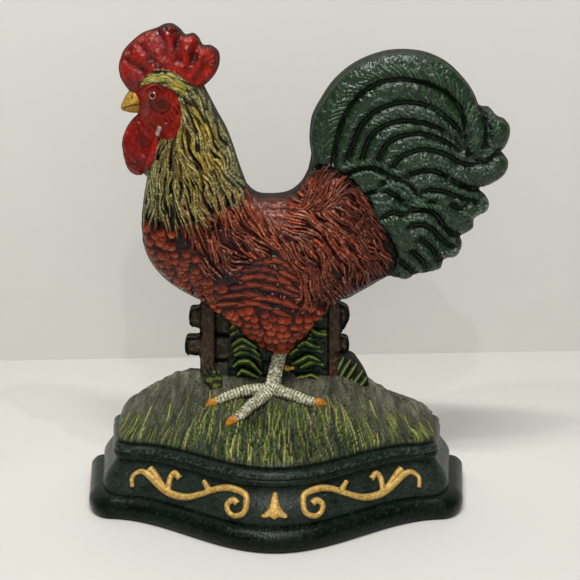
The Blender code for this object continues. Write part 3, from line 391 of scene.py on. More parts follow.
def body_depth(p):
    """Depth of the body: full in the middle, drawn in at the belly, and flush with the comb and the tail."""
    form = risen(BODY_FORM, TO_BODY(p))
    belly = risen(BELLY_FORM, TO_BELLY(p))
    near = np.clip(0.5 + (belly - form) / BELLY_BLEND, 0, 1)
    depth = mix(belly, form, near) - BELLY_DIP * near * (1 - near)
    depth = levelled(depth, head_depth(p), TO_SEAM(p), HEAD_BLEND)
    return levelled(depth, tail_depth(p), TO_ROOT(p), TAIL_BLEND)


def fence_depth(p):
    return np.full(len(p), FENCE_DEPTH)


def tuft_depth(p):
    return np.full(len(p), TUFT_DEPTH)


def blade_depth(p):
    return np.full(len(p), BLADE_DEPTH)


def rays_through(points):
    """Directions from the camera through points of the picture."""
    p = np.array(points, float) - IMAGE_MIDDLE
    return FORWARD + RIGHT * p[:, :1] / FOCAL - UP * p[:, 1:] / FOCAL


def seen(points, depth):
    """Places on the relief that the camera sees at points of the picture."""
    rays = rays_through(points)
    reach = np.full(len(rays), FIRST_DEPTH)
    for _ in range(LOOKS):
        hit = EYE_POINT + rays * ((-reach - EYE_POINT[1]) / rays[:, 1])[:, None]
        reach = depth(hit[:, [0, 2]])
    return hit[:, [0, 2]]


class Sheet:
    """A flat map of raised strokes: how far each spot is lifted, and its colour."""

    def __init__(self, low, high, colour, cell=0.25):
        self.low, self.cell = np.array(low, float), cell
        self.columns, self.rows = (int((b - a) / cell) + 1 for a, b in zip(low, high))
        self.lift = np.zeros((self.rows, self.columns))
        self.rgb = np.tile(np.array(colour, float), (self.rows, self.columns, 1))
        self.xs = low[0] + cell * np.arange(self.columns)
        self.zs = low[1] + cell * np.arange(self.rows)

    def places(self):
        return np.array(np.meshgrid(self.xs, self.zs)).reshape(2, -1).T

    def filled(self, outline):
        """Which cells lie inside a closed outline."""
        grid = np.zeros((self.rows, self.columns + 1), int)
        for (x0, z0), (x1, z1) in zip(outline, np.roll(outline, -1, axis=0)):
            if z0 > z1:
                x0, z0, x1, z1 = x1, z1, x0, z0
            rows = np.arange(max(0, math.ceil((z0 - self.low[1]) / self.cell)),
                             min(self.rows, math.ceil((z1 - self.low[1]) / self.cell)))
            if len(rows):
                x = x0 + (rows * self.cell + self.low[1] - z0) * (x1 - x0) / (z1 - z0)
                columns = np.clip(np.ceil((x - self.low[0]) / self.cell).astype(int), 0, self.columns)
                np.add.at(grid, (rows, columns), 1)
        return np.cumsum(grid, axis=1)[:, :-1] % 2 == 1

    def window(self, points, margin):
        low = np.floor((points.min(axis=0) - margin - self.low) / self.cell).astype(int)
        high = np.ceil((points.max(axis=0) + margin - self.low) / self.cell).astype(int) + 1
        return (slice(max(low[1], 0), max(min(high[1], self.rows), 0)),
                slice(max(low[0], 0), max(min(high[0], self.columns), 0)))

    def stroke(self, points, width, height, colours, mask=None, shape=(0.12, 1.5), base=0.0, ribs=None):
        """A domed strand along points, with colours for its edge, its flank and its ridge; a light ridge
        colour is a painted highlight along the crown.
        """
        p = np.asarray(points, float)
        rows, columns = self.window(p, width)
        if rows.start >= rows.stop or columns.start >= columns.stop:
            return
        xs, zs = self.xs[columns][None, :, None], self.zs[rows][:, None, None]
        run = p[1:] - p[:-1]
        length = np.maximum(np.hypot(run[:, 0], run[:, 1]), 1e-9)
        dx, dz = xs - p[:-1, 0], zs - p[:-1, 1]
        t = np.clip((dx * run[:, 0] + dz * run[:, 1]) / length ** 2, 0, 1)
        square = (dx - t * run[:, 0]) ** 2 + (dz - t * run[:, 1]) ** 2
        k = np.argmin(square, axis=-1)

        def pick(values):
            return np.take_along_axis(values, k[..., None], -1)[..., 0]

        away = np.sqrt(pick(square))
        along = np.concatenate([[0], np.cumsum(length)])[k] + pick(t) * length[k]
        share = along / length.sum()
        root, tip = shape
        w = width * np.sqrt(np.clip(share / root, 0.04, 1)) * (1 - share ** tip * 0.93)
        u = away / np.maximum(w, 1e-6)
        hit = u < 1
        if mask is not None:
            hit &= mask[rows, columns]
        if not hit.any():
            return
        dome = np.sqrt(np.maximum(0, 1 - u[hit] ** 2))
        shade = dome
        if ribs:
            side = np.sign(pick(dx * run[:, 1] - dz * run[:, 0]))[hit]
            wave = np.sin((along[hit] - away[hit] * ribs[1]) * 2 * math.pi / ribs[0] + side)
            shade = dome * (0.8 + 0.2 * wave)
            dome = dome + ribs[2] * wave * dome
        rim, flank, ridge = colours
        out = u[hit] + 0.35 * (dome - shade)
        tone = mix(np.tile(rim, (hit.sum(), 1)), flank, ease((0.9 - out) / 0.42))
        tone = mix(tone, ridge, ease((0.4 - out) / 0.4))
        lift = self.lift[rows, columns]
        rgb = self.rgb[rows, columns]
        lift[hit] = base + dome * height
        rgb[hit] = tone

    def scale(self, tip, way, half, length, height, colours, mask=None):
        """A rounded feather that lies under the ones above it and rises towards its tip."""
        tip, way = np.asarray(tip, float), np.asarray(way, float)
        rows, columns = self.window(np.array([tip, tip - way * length]), half)
        if rows.start >= rows.stop or columns.start >= columns.stop:
            return
        dx = self.xs[columns][None, :] - tip[0]
        dz = self.zs[rows][:, None] - tip[1]
        along = -(dx * way[0] + dz * way[1])
        across = np.abs(dx * way[1] - dz * way[0]) / half
        r = np.where(along < half, np.hypot(across, 1 - along / half), across)
        hit = (along > 0) & (along < length) & (r < 1)
        if mask is not None:
            hit &= mask[rows, columns]
        if not hit.any():
            return
        r, along = r[hit], along[hit]
        crown = np.sqrt(np.clip(1 - r ** 4, 0, 1))
        rim, flank, ridge = colours
        spots = np.column_stack([(dx + 0 * dz)[hit], (dz + 0 * dx)[hit]]) + tip
        blotch = 0.5 + 0.5 * grain(spots, 0.8, 57)
        # Dark edge; lighter towards the tip and darker towards the root, where the feather lies under the one
        # above: painted light and shade.
        tone = mix(np.tile(rim, (len(r), 1)), flank, ease((1.0 - r) / 0.25))
        tone = mix(tone, ridge, ease(1.15 - along / length * 2.2) * ease((0.95 - r) / 0.3) * blotch)
        tone = mix(tone, rim, ease((along / length - 0.3) / 0.5) * 0.8)
        self.lift[rows, columns][hit] = height * crown * (1 - 0.85 * along / length) + 0.12 * blotch
        self.rgb[rows, columns][hit] = tone

    def groove(self, points, width, depth, colour, strength=1.0, mask=None, soft=0.6):
        """A cut line with a colour blended in along it: mostly a dark colour, painted shade in the cut."""
        p = np.asarray(points, float)
        rows, columns = self.window(p, width)
        grid = np.array(np.meshgrid(self.xs[columns], self.zs[rows])).reshape(2, -1).T
        if not len(grid):
            return
        u = (line_distance(grid, [p]) / width).reshape(rows.stop - rows.start, -1)
        cut = np.clip(1 - u, 0, 1)
        if mask is not None:
            cut = cut * mask[rows, columns]
        self.lift[rows, columns] -= depth * ease(cut)
        self.rgb[rows, columns] = mix(self.rgb[rows, columns], np.array(colour), cut ** soft * strength)

    def wash(self, centre, radius, colour, strength=1.0, mask=None):
        """A soft patch of colour."""
        c = np.array(centre, float)
        r = np.broadcast_to(np.array(radius, float), 2)
        rows, columns = self.window(np.array([c]), r.max())
        x, z = np.meshgrid(self.xs[columns], self.zs[rows])
        amount = ease(1.3 * (1 - np.hypot((x - c[0]) / r[0], (z - c[1]) / r[1]))) * strength
        if mask is not None:
            amount = amount * mask[rows, columns]
        self.rgb[rows, columns] = mix(self.rgb[rows, columns], np.array(colour), amount)

    def at(self, places):
        q = (places - self.low) / self.cell
        return bilinear(self.lift, q), bilinear(self.rgb, q)


def flow(guides):
    """Directions over the body, from arrows drawn on the picture."""
    tails = seen([g[:2] for g in guides], body_depth)
    heads = seen([g[2:] for g in guides], body_depth)
    middles = (tails + heads) / 2
    ways = heads - tails
    ways /= np.linalg.norm(ways, axis=1, keepdims=True)

    def way(places):
        gap = np.sum((np.atleast_2d(places)[:, None] - middles) ** 2, axis=2)
        v = (1 / (gap + 2) ** 1.5) @ ways
        return v / np.linalg.norm(v, axis=1, keepdims=True)

    return way


def follow(ends, way, lengths, wave, pitch, steps=12):
    """Lines that follow a flow up to their ends, with waves that neighbours share."""
    p = np.array(ends, float)
    run = -(np.asarray(lengths) / steps)[:, None]
    made = [p]
    for _ in range(steps):
        d = way(p)
        bend = wave * grain(p, pitch, 5)[:, None]
        p = p + run * (d + bend * np.column_stack([-d[:, 1], d[:, 0]]))
        made.append(p)
    return np.stack(made, axis=1)[:, ::-1]


def staggered(outline, spacing, share):
    """A staggered grid over an outline's box, with its rows a share of the spacing apart."""
    low, high = outline.min(axis=0), outline.max(axis=0)
    rows = []
    for j, z in enumerate(np.arange(low[1], high[1], spacing * share)):
        x = np.arange(low[0] + (j % 2) * spacing / 2, high[0], spacing)
        rows.append(np.column_stack([x, np.full(len(x), z)]))
    return np.vstack(rows)


def seeds(outline, spacing, jitter=0.35):
    """Places strewn over an outline."""
    made = staggered(outline, spacing, 0.87)
    made = made + RNG.uniform(-jitter, jitter, (len(made), 2)) * spacing
    return made[inside(made, outline)]


# Colours
IRON = paint(46, 42, 38)
BACK_IRON = paint(52, 50, 47)
BLACK = paint(22, 18, 16)
HACKLE_GAP = paint(16, 12, 6)
RED_GAP = paint(26, 8, 6)
TAIL = paint(24, 48, 28)
TAIL_GROOVE_SHADE = paint(6, 14, 9)
TAIL_GLINT = paint(84, 112, 88)
TUFT_DARK = paint(8, 18, 10)

figure = Sheet((-80, 44), (120, 244), RED_GAP)
REGION = {name: trace(steps) for name, (kind, colour, steps) in ELEMENTS.items()}
MASK = {name: figure.filled(outline) for name, outline in REGION.items()}
BODY_MASK = MASK["breast"] | MASK["thigh"] | MASK["wing"] | MASK["saddle"]
PLUMES_MASK = (MASK["tail_sickle"] | MASK["tail_inner_plumes"] | MASK["tail_middle_plumes"]
               | MASK["tail_lower_plumes"])
CELLS = figure.places()


def spots_in(area):
    """Places of the figure's cells in an area."""
    return CELLS[area.ravel()]


def tint(area, colour, share):
    """Blend a colour into an area of the figure."""
    figure.rgb[area] = mix(figure.rgb[area], colour, share)


def drawn(points, depth):
    """A fine line on the relief through points of the picture."""
    return smooth(seen(points, depth))


def within(points, depth):
    """The figure's cells inside an outline drawn on the picture."""
    return figure.filled(seen(points, depth))


def dab(point, depth, radius, colour, strength, mask):
    """A soft patch of colour at a point of the picture."""
    figure.wash(seen([point], depth)[0], radius, colour, strength, mask)


def cut(lines, depth, width, deep, colour, strength, mask, soft=0.6):
    """Grooves along lines drawn on the picture."""
    for line in lines:
        figure.groove(drawn(line, depth), width, deep, colour, strength, mask, soft)


def feathers(outline, way, spacing, length, width, height, palette, mask, order, shape=(0.12, 1.6), wave=0.3,
             pitch=4.5):
    """Overlapping strands over an outline drawn on the body, painted from the tips' end upwards."""
    places = seeds(seen(outline, body_depth), spacing)
    places = places[np.argsort(order(places))]
    sizes = RNG.uniform(0.65, 1.3, len(places))
    lines = follow(places, way, sizes * length, wave, pitch)
    for p, line in zip(places, lines):
        figure.stroke(line, width * RNG.uniform(0.7, 1.25), height * RNG.uniform(0.75, 1.2), palette(p), mask,
                      shape)


def glints_and_flecks(area, colour, share, size, seed, low=0.6):
    """Small spots on the high parts of an area: painted glints where the colour is light, flecks where it is
    dark.
    """
    spots = spots_in(area)
    amount = ease((grain(spots, size, seed) - 0.3) * 3) * ease((figure.lift[area] - low) / 0.6)
    tint(area, colour, share * amount)


SCALES = [
    (146, 229, 5), (150, 243, 4.5), (161, 234, 4.6), (172, 236, 4.2), (160, 244, 4.6), (172, 248, 5),
    (163, 257, 4.6), (170, 262, 5.4), (156, 258, 4.2), (186, 264, 5.4), (152, 252, 3.6), (184, 275, 5),
    (197, 272, 4.6), (184, 285, 5.2), (198, 283, 5.4), (173, 272, 4.4), (171, 281, 4), (190, 292, 4.4),
    (210, 291, 5.2), (224, 290, 6), (212, 299, 4.8), (224, 302, 5.2), (200, 293, 4.4), (236, 297, 4.4)]


def paint_breast_and_body():
    """Scales on the breast and belly, long wavy locks on the saddle, and plates on the wing."""
    mask = BODY_MASK | MASK["hackle"]
    way = flow([
        (225, 200, 245, 225), (245, 225, 262, 245), (262, 245, 285, 270), (240, 200, 262, 225),
        (262, 225, 290, 250), (290, 250, 320, 270), (280, 210, 300, 225), (300, 225, 330, 245),
        (300, 205, 330, 215), (330, 215, 360, 232), (330, 190, 350, 200), (345, 200, 375, 222),
        (360, 230, 385, 258), (300, 275, 312, 300), (330, 250, 342, 290), (350, 260, 362, 290),
        (345, 225, 372, 262), (195, 225, 205, 250), (165, 225, 166, 245), (150, 225, 149, 245),
        (215, 240, 232, 262), (200, 260, 208, 280), (180, 280, 192, 296), (155, 262, 165, 280),
        (250, 300, 262, 330), (300, 300, 292, 330), (280, 320, 280, 345), (330, 300, 322, 320),
        (262, 200, 285, 206), (330, 172, 315, 187), (345, 181, 333, 194), (338, 176, 324, 189),
        (348, 203, 362, 216), (356, 201, 366, 214), (318, 213, 335, 225), (335, 226, 350, 242),
        (350, 242, 355, 258), (345, 250, 350, 266), (355, 245, 363, 260), (315, 245, 328, 264),
        (328, 264, 342, 288), (300, 240, 315, 262), (315, 262, 326, 282), (326, 282, 336, 300),
        (365, 262, 371, 280), (350, 266, 354, 282), (312, 275, 318, 300), (310, 300, 304, 320),
        (230, 262, 260, 270), (180, 215, 190, 240)])
    spots = spots_in(mask)
    figure.rgb[mask] = mix(BLACK, paint(50, 16, 10), 0.5 + 0.5 * grain(spots, 5.0, 3))

    def strand(p):
        patch = grain(p[None], 9, 7)[0]
        warm = np.clip(0.5 + 0.5 * patch + RNG.uniform(-0.35, 0.35), 0, 1)
        flank = mix(paint(70, 22, 15), mix(paint(168, 56, 22), paint(118, 58, 30), RNG.uniform(0, 1)), warm)
        # Pale pink ridge colour: a painted highlight along the crown of each lock.
        ridge = mix(flank, paint(206, 128, 98), RNG.uniform(0, 1) ** 1.6 * 0.8 + 0.1)
        return mix(RED_GAP, BLACK, RNG.uniform(0.2, 1)), flank, ridge

    def under_strand(p):
        flank = mix(paint(44, 16, 11), paint(78, 28, 18), RNG.uniform(0, 1))
        return BLACK, flank, mix(flank, paint(120, 52, 34), RNG.uniform(0, 0.8))

    def scale(p):
        warm = RNG.uniform(0, 1)
        flank = mix(paint(80, 24, 14), paint(146, 50, 22), warm)
        return paint(12, 6, 5), flank, mix(flank, paint(214, 116, 72), RNG.uniform(0.3, 0.9))

    def down_left(p):
        return p[:, 1] - p[:, 0] * 0.5

    def locks(outline, spacing, length, width, height, palette, wave):
        feathers(outline, way, spacing, length, width, height, palette, mask, down_left, wave=wave, pitch=6.0)

    saddle = [
        (160, 222), (182, 212), (206, 208), (240, 200), (262, 196), (300, 197), (318, 168), (340, 172),
        (360, 190), (378, 220), (394, 250), (398, 272), (374, 290), (345, 300), (330, 318), (300, 330),
        (280, 310), (262, 296), (225, 284), (205, 284), (196, 262), (178, 240)]
    locks(saddle, 3.6, 11.0, 1.1, 1.0, under_strand, 0.6)
    locks(saddle, 4.0, 11.5, 1.2, 2.2, strand, 0.62)
    made = seeds(REGION["thigh"], 4.2, 0.3)
    for p, d in sorted(zip(made, way(made)), key=lambda q: q[0][1]):
        half = RNG.uniform(1.9, 2.8)
        figure.scale(p, d, half, half * 2.6, 1.3, scale(p), mask)
    made = seeds(REGION["breast"], 4.1, 0.3)
    hand = seen([(u, v + r * 0.7) for u, v, r in SCALES], body_depth)
    keep = inside(made, seen([(130, 225), (168, 232), (178, 250), (198, 262), (204, 285), (240, 288),
                              (240, 320), (130, 320)], body_depth))
    keep &= np.linalg.norm(made[:, None] - hand[None], axis=2).min(axis=1) > 1.8
    both = [(p, 2.2) for p in made[keep]] + [(p, r * 0.56) for p, (u, v, r) in zip(hand, SCALES)]
    for p, half in sorted(both, key=lambda q: q[0][1]):
        d = mix(way(p)[0], np.array([0, -1.0]), 0.4)
        figure.scale(p, d / np.linalg.norm(d), half, half * 2.6, 1.3, scale(p), mask)
    plates = [
        ([(216, 305), (240, 303.5), (264, 306.5), (290, 315)], 2.5),
        ([(220, 297), (245, 295), (272, 298.5), (299, 308.5)], 2.7),
        ([(229, 288), (252, 286), (278, 290), (303, 300)], 2.8),
        ([(238, 279), (258, 277), (281, 281), (304, 291.5)], 2.8),
        ([(242, 270), (260, 268), (282, 272.5), (303, 283)], 2.8),
        ([(252, 262), (268, 260.5), (284, 264), (300, 273)], 2.6)]
    for points, half in plates:
        row = drawn(points, body_depth)
        for share in (0.7, 0.52, 0.34, 0.17, 0.0):
            first = int(len(row) * np.clip(share + RNG.uniform(-0.04, 0.04), 0, 1))
            line = row[first:first + int(len(row) * RNG.uniform(0.26, 0.36))] + RNG.uniform(-0.8, 0.8, 2)
            flank = mix(paint(72, 22, 15), paint(136, 48, 24), RNG.uniform(0, 1))
            wide = half * RNG.uniform(0.8, 1.05)
            colours = (paint(14, 7, 5), flank, mix(flank, paint(196, 100, 64), RNG.uniform(0.2, 0.7)))
            figure.stroke(line, wide, 0.9, colours, mask, (0.3, 4), ribs=(1.1, 1.6, 0.2))
    ends = [(296, 262), (312, 262), (318, 290), (318, 312), (300, 316), (298, 290)]
    locks(ends, 3.2, 10, 1.0, 1.8, strand, 0.55)
    light = [
        (256, 256), (290, 250), (306, 268), (316, 300), (350, 296), (374, 282), (390, 262), (370, 225),
        (345, 200), (300, 208), (262, 212), (232, 226), (240, 250)]
    locks(light, 5.2, 10, 0.7, 2.6, strand, 0.75)
    near_back = line_distance(spots, [FINE["back"], FINE["nape"][-20:]])
    calm = ease((15 - near_back) / 9) * ease((spots[:, 0] + 16) / 5) * ease((12 - spots[:, 0]) / 8)
    tone = mix(paint(136, 62, 36), paint(88, 40, 26), 0.5 + 0.5 * grain(spots, 1.8, 9))
    tone = mix(tone, paint(56, 46, 38), ease((4.0 - near_back) / 3.5))
    tint(mask, tone, 0.7 * calm)
    figure.lift[mask] = figure.lift[mask] * (1 - 0.6 * calm) + 0.2 * calm * grain(spots, 0.9, 15)
    # Darker along the body's outer edges: painted shade.
    tint(mask, paint(34, 26, 22), 0.35 * ease((1.8 - TO_BODY(spots)) / 1.5))
    dab((230, 276), body_depth, (10, 5.5), paint(46, 36, 44), 0.75, mask)
    dab((252, 266), body_depth, (7, 3), paint(50, 34, 42), 0.5, mask)
    # Painted glints: small pale pink spots on the high strands.
    glints_and_flecks(BODY_MASK, paint(226, 158, 132), 0.4, 0.7, 63, 1.2)
    return strand


def paint_hackle():
    """Neck feathers in yellow and olive over black, lapping onto the breast."""
    way = flow([
        (165, 150, 162, 165), (150, 190, 148, 210), (165, 200, 168, 222), (190, 150, 200, 168),
        (205, 160, 216, 177), (220, 160, 228, 180), (230, 190, 240, 208), (200, 200, 210, 220),
        (180, 210, 186, 232), (185, 95, 192, 112), (200, 105, 208, 124), (170, 78, 186, 84),
        (150, 74, 160, 70), (192, 120, 196, 140), (178, 140, 180, 160), (215, 205, 227, 222),
        (158, 170, 154, 188), (150, 215, 149, 235), (192, 225, 202, 250)])
    above = within([
        (120, 50), (260, 50), (260, 205), (232, 207), (218, 212), (203, 218), (188, 224), (172, 228),
        (160, 226), (152, 221), (120, 220)], body_depth)
    neck = MASK["hackle"]
    top = neck & above
    heights = spots_in(top)[:, 1]
    figure.rgb[top] = mix(HACKLE_GAP, paint(60, 58, 36), ease((heights - (CREST + 108)) / 30))
    border = np.vstack([FINE["hackle_hem_front"], FINE["hackle_hem_back"][1:]])
    far = line_distance(spots_in(top), [border])
    figure.lift[top] *= ease(1 - far / 4)
    mask = (neck | BODY_MASK) & ~MASK["face"]
    for u, v, wide in ((158, 224, 4), (170, 223, 5), (184, 220, 6), (197, 214, 6)):
        dab((u, v), body_depth, (wide, 6.5), paint(12, 9, 7), 0.95, mask)
    gold = seen([(203, 160)], body_depth)[0]

    def strand(p):
        grey = ease((8 - TO_BODY(p[None])[0]) / 6)
        warm = ease(1.2 - np.hypot(*(p - gold)) / 24) * RNG.uniform(0.3, 1)
        body = mix(mix(paint(124, 118, 54), paint(196, 156, 42), warm), paint(112, 116, 84), grey * 0.8)
        body = mix(body, paint(40, 38, 22), RNG.uniform(0, 1) ** 2 * 0.9)
        # Pale cream ridge colour: a painted highlight along the crown of each strand.
        ridge = mix(body, paint(214, 204, 148), RNG.uniform(0.0, 1) ** 1.5 * 0.9)
        return HACKLE_GAP, body, ridge

    def thin_strand(p):
        body = mix(paint(150, 138, 66), paint(150, 92, 60), RNG.uniform(0, 1))
        return HACKLE_GAP, body, mix(body, paint(214, 190, 140), RNG.uniform(0, 0.8))

    def upwards(p):
        return p[:, 1]

    hem = [
        (146, 220), (156, 234), (170, 240), (186, 244), (203, 238), (216, 226), (228, 216), (232, 206),
        (246, 204), (238, 196), (220, 198), (200, 206), (180, 212), (160, 212), (148, 210)]
    low = [
        (134, 222), (158, 226), (172, 222), (186, 218), (200, 214), (214, 212), (228, 212), (252, 210),
        (250, 190), (240, 160), (190, 160), (160, 170), (134, 190)]
    thin = [(212, 206), (226, 199), (244, 195), (252, 206), (240, 216), (222, 223), (208, 228)]
    front = [(142, 190), (158, 190), (160, 228), (142, 230)]
    high = [
        (136, 196), (172, 190), (200, 188), (250, 196), (250, 165), (236, 130), (224, 100), (204, 78),
        (170, 70), (146, 74), (140, 86), (158, 76), (180, 90), (184, 115), (178, 128), (158, 138),
        (152, 165)]
    for outline, spacing, length, width, height, palette, tip, wave in (
            (hem, 3.4, 12, 0.6, 1.5, thin_strand, 1.6, 0.4), (low, 3.8, 11, 1.02, 1.7, strand, 2.0, 0.5),
            (thin, 2.8, 9, 0.62, 2.0, thin_strand, 1.8, 0.4), (front, 2.9, 10, 0.75, 1.6, strand, 1.8, 0.4),
            (high, 3.3, 11, 1.0, 1.5, strand, 2.2, 0.5)):
        feathers(outline, way, spacing, length, width, height, palette, mask, upwards, (0.2, tip), wave,
                 pitch=5.5)
    cut([[(184, 97), (190, 115), (197, 135)], [(176, 130), (172, 150), (170, 170)],
         [(214, 170), (222, 190), (229, 204)], [(190, 150), (200, 172), (204, 190)],
         [(200, 190), (206, 204), (214, 218)], [(172, 190), (174, 205), (174, 226)],
         [(186, 196), (190, 210), (194, 226)], [(158, 196), (158, 212), (158, 228)],
         [(180, 165), (182, 182), (180, 200)], [(166, 178), (164, 196), (166, 214)]],
        body_depth, 1.0, 0.8, HACKLE_GAP, 0.95, mask)
    cap = [
        (141, 88), (145, 78), (152, 72), (162, 71), (172, 74), (182, 80), (190, 90), (188, 100), (180, 92),
        (170, 84), (160, 81), (150, 83)]

    def cap_strand(p):
        ridge = mix(paint(160, 150, 66), paint(208, 196, 120), RNG.uniform(0, 1))
        return paint(60, 56, 24), paint(136, 126, 50), ridge

    feathers(cap, way, 2.2, 7, 1.0, 1.0, cap_strand, mask, upwards, (0.3, 3), 0.2)
    dab((153, 80), body_depth, (2.2, 1.2), paint(196, 190, 130), 0.7, mask)
    dab((178, 84), body_depth, (3.4, 3), paint(176, 158, 60), 0.5, mask)
    # Painted glints: small pale cream spots on the high strands.
    glints_and_flecks(top, paint(236, 228, 176), 0.5, 0.7, 67, 0.8)


GROOVES = [
    [(333, 163), (336, 147), (339, 133), (343, 121), (348, 111), (353, 103.5), (360, 95.5), (368, 89.5),
     (378, 84), (389, 81), (401, 79.5), (413, 81), (425, 83.5), (435, 87), (444, 92), (452, 98.5),
     (459, 107.5), (463, 117), (464.5, 128), (465, 139), (466.5, 149), (471, 156), (478, 160.5), (483, 161),
     (490, 158), (497, 152)],
    [(480, 106), (485, 118), (487, 130), (486, 142), (482, 153), (478, 161)],
    [(347, 160), (351, 150), (355, 140), (360, 128), (367, 119), (377, 111), (388, 106), (400, 103),
     (412, 103), (424, 105), (434, 109), (443, 115), (452, 123), (459, 131), (463, 139)],
    [(362, 160), (365, 150), (369, 140), (374, 133), (383, 127), (393, 123), (405, 121), (417, 122),
     (428, 125), (440, 130), (450, 137), (458, 143), (463, 150)],
    [(378, 160), (383, 150), (389, 143), (397, 138), (408, 135), (420, 134), (432, 137), (443, 141),
     (453, 147), (460, 153)],
    [(393, 167), (398, 160), (406, 155), (416, 151), (426, 150), (438, 152), (448, 156), (458, 162),
     (468, 165), (478, 165), (487, 161)],
    [(405, 178), (412, 174), (424, 171), (436, 172), (447, 177), (456, 183), (465, 187), (479, 190)],
    [(421, 192), (432, 190.5), (444, 192), (455, 196), (466, 200), (478, 203)],
    [(345, 176), (353, 172), (365, 168.5), (378, 170), (388, 176), (400, 180.5), (410, 188), (418, 197),
     (425, 200.5), (434, 202)],
    [(362, 196), (375, 192), (388, 192), (400, 200), (412, 208), (430, 212), (438, 218), (443, 226),
     (450, 232), (459, 236)],
    [(383, 218), (392, 213), (403, 215), (415, 211), (427, 211), (437, 216), (444, 226)],
    [(410, 227), (418, 225), (426, 226), (434, 231), (440, 238), (446, 244), (454, 247)],
    [(420, 240), (428, 245), (434, 252), (436, 258), (443, 260)],
    [(411, 251), (417, 256), (423, 262), (425, 270)], [(400, 262), (408, 268), (412, 272)],
    [(452, 205), (460, 209), (470, 204)], [(488, 125), (491, 133), (490, 141)], [(380, 186), (390, 179)],
    [(318, 167), (330, 170), (340, 176), (349, 181), (360, 194), (368, 200), (370, 215), (383, 232),
     (388, 240), (393, 250), (395, 262), (390, 270), (386, 274)]]


def paint_tail():
    """Dark green plumes, round between cut grooves, with barbs that slant across them; the grooves are
    darkened with painted shade and the plumes dotted with painted glints.
    """
    mask = PLUMES_MASK | MASK["tail_tips"]
    lines = [drawn(g, tail_depth) for g in GROOVES]
    places = spots_in(mask)
    reach = line_distance(places, [line[::2] for line in lines])
    rim = TO_TAIL(places)
    reach = np.minimum(reach, rim + 2.5)
    share = np.clip(reach / 4.8, 0, 1)
    figure.lift[mask] = 2.6 * (1 - (1 - share) ** 2) - 1.2
    figure.lift[mask] += ease(reach / 2) * (0.3 * grain(places, 1.1, 21) + 0.2 * grain(places, 2.4, 25))
    # Painted shade: darkest along each groove, lighter over the plumes' crowns.
    tone = mix(mix(TAIL_GROOVE_SHADE, TAIL, ease(reach / 4.2)), paint(30, 50, 36), ease(reach / 5.5) * 0.6)
    tone = mix(tone, paint(30, 52, 20), 0.3 + 0.25 * grain(places, 7, 5))
    # Pale green-grey speckle away from the grooves: painted glints.
    tone = mix(tone, paint(80, 106, 78), 0.42 * ease(grain(places, 0.9, 27) * 1.8 - 0.4) * ease(reach / 2.5))
    figure.rgb[mask] = mix(tone, paint(34, 40, 34), 0.4 * ease((2.5 - rim) / 2))
    for k, line in enumerate(lines[:18]):
        length = np.linalg.norm(np.diff(line, axis=0), axis=1).sum()
        pitch, long, wide = (1.7, 6.0, 0.46) if k == 0 else (1.25, 3.6, 0.4)
        count = max(2, int(length / pitch))
        for i in range(1, count):
            at = (i + RNG.uniform(-0.25, 0.25)) / count * (len(line) - 1)
            j = min(int(at), len(line) - 2)
            p = line[j] + (line[j + 1] - line[j]) * (at - j)
            way = line[j + 1] - line[j]
            way = way / np.linalg.norm(way)
            out = np.array([-way[1], way[0]])
            size = long * RNG.uniform(0.6, 1.15)
            start = p + out * (1.7 + size * 0.72) - way * size * 0.35
            end = p + out * 1.7 + way * size * 0.35
            middle = (start + end) / 2 + (way + out) * 0.25
            # Barbs: raised strokes in a lighter green, the palest of them painted glints.
            gleam = mix(TAIL, TAIL_GLINT, RNG.uniform(0, 1) ** 1.6)
            stroke_on_top([start, middle, end], wide, 0.75, gleam, mask)
    for line in lines:
        figure.groove(line, 1.8, 0.3, TAIL_GROOVE_SHADE, 0.65, mask, soft=1.6)
    # Raised lobe edges in a lighter green; the pale ticks along them are painted glints.
    for line in ([(349, 178), (360, 173), (372, 172.5), (382, 177), (388, 182)],
                 [(378, 192), (384, 187), (396, 183), (407, 187), (414, 196), (428, 202)],
                 [(360, 196), (370, 200), (380, 202.5), (392, 202)], [(404, 203), (412, 204), (420, 207)],
                 [(406, 222), (414, 219), (424, 218)], [(446, 252), (452, 253), (458, 248)],
                 [(479, 156), (486, 155), (493, 150)], [(464, 213), (472, 215), (480, 209)],
                 [(484, 197), (488, 202), (484, 209)]):
        line = drawn(line, tail_depth)
        stroke_on_top(line, 0.8, 0.5, paint(46, 70, 52), mask)
        for k in range(0, len(line) - 1, 2):
            tick = line[k] + RNG.uniform(-0.6, 0.6, 2)
            stroke_on_top([tick, tick + (0.7, -0.3)], 0.4, 0.3, paint(100, 120, 102), mask)
    # Clusters of pale green ticks: painted glints.
    for u, v, wide, tall, count in ((418, 233, 8, 4, 46), (433, 197, 9, 3.5, 40), (412, 247, 3, 2.5, 10),
                                    (452, 252, 5, 3, 16), (480, 203, 6, 8, 36), (490, 170, 10, 6, 46),
                                    (492, 125, 9, 12, 60), (382, 222, 14, 4, 44), (455, 175, 12, 8, 60),
                                    (425, 180, 12, 6, 44), (425, 165, 20, 6, 70), (430, 115, 22, 7, 70)):
        spread = np.clip(RNG.normal(0, 0.5, (count, 2)), -1, 1) * (wide, tall)
        for tick in seen(spread + (u, v), tail_depth):
            stroke_on_top([tick, tick + RNG.uniform(-0.35, 0.35, 2)], 0.42, 0.45,
                          mix(paint(44, 66, 50), paint(120, 138, 118), RNG.uniform(0, 1) ** 3), mask)


def stroke_on_top(points, width, height, colour, mask):
    """A thin ridge added over what is there."""
    p = np.asarray(points, float)
    rows, columns = figure.window(p, width)
    x, z = np.meshgrid(figure.xs[columns], figure.zs[rows])
    if not x.size:
        return
    u = (line_distance(np.column_stack([x.ravel(), z.ravel()]), [p]) / width).reshape(x.shape)
    dome = np.clip(1 - u * u, 0, 1) * mask[rows, columns]
    figure.lift[rows, columns] += dome * height
    figure.rgb[rows, columns] = mix(figure.rgb[rows, columns], colour, dome * 0.8)


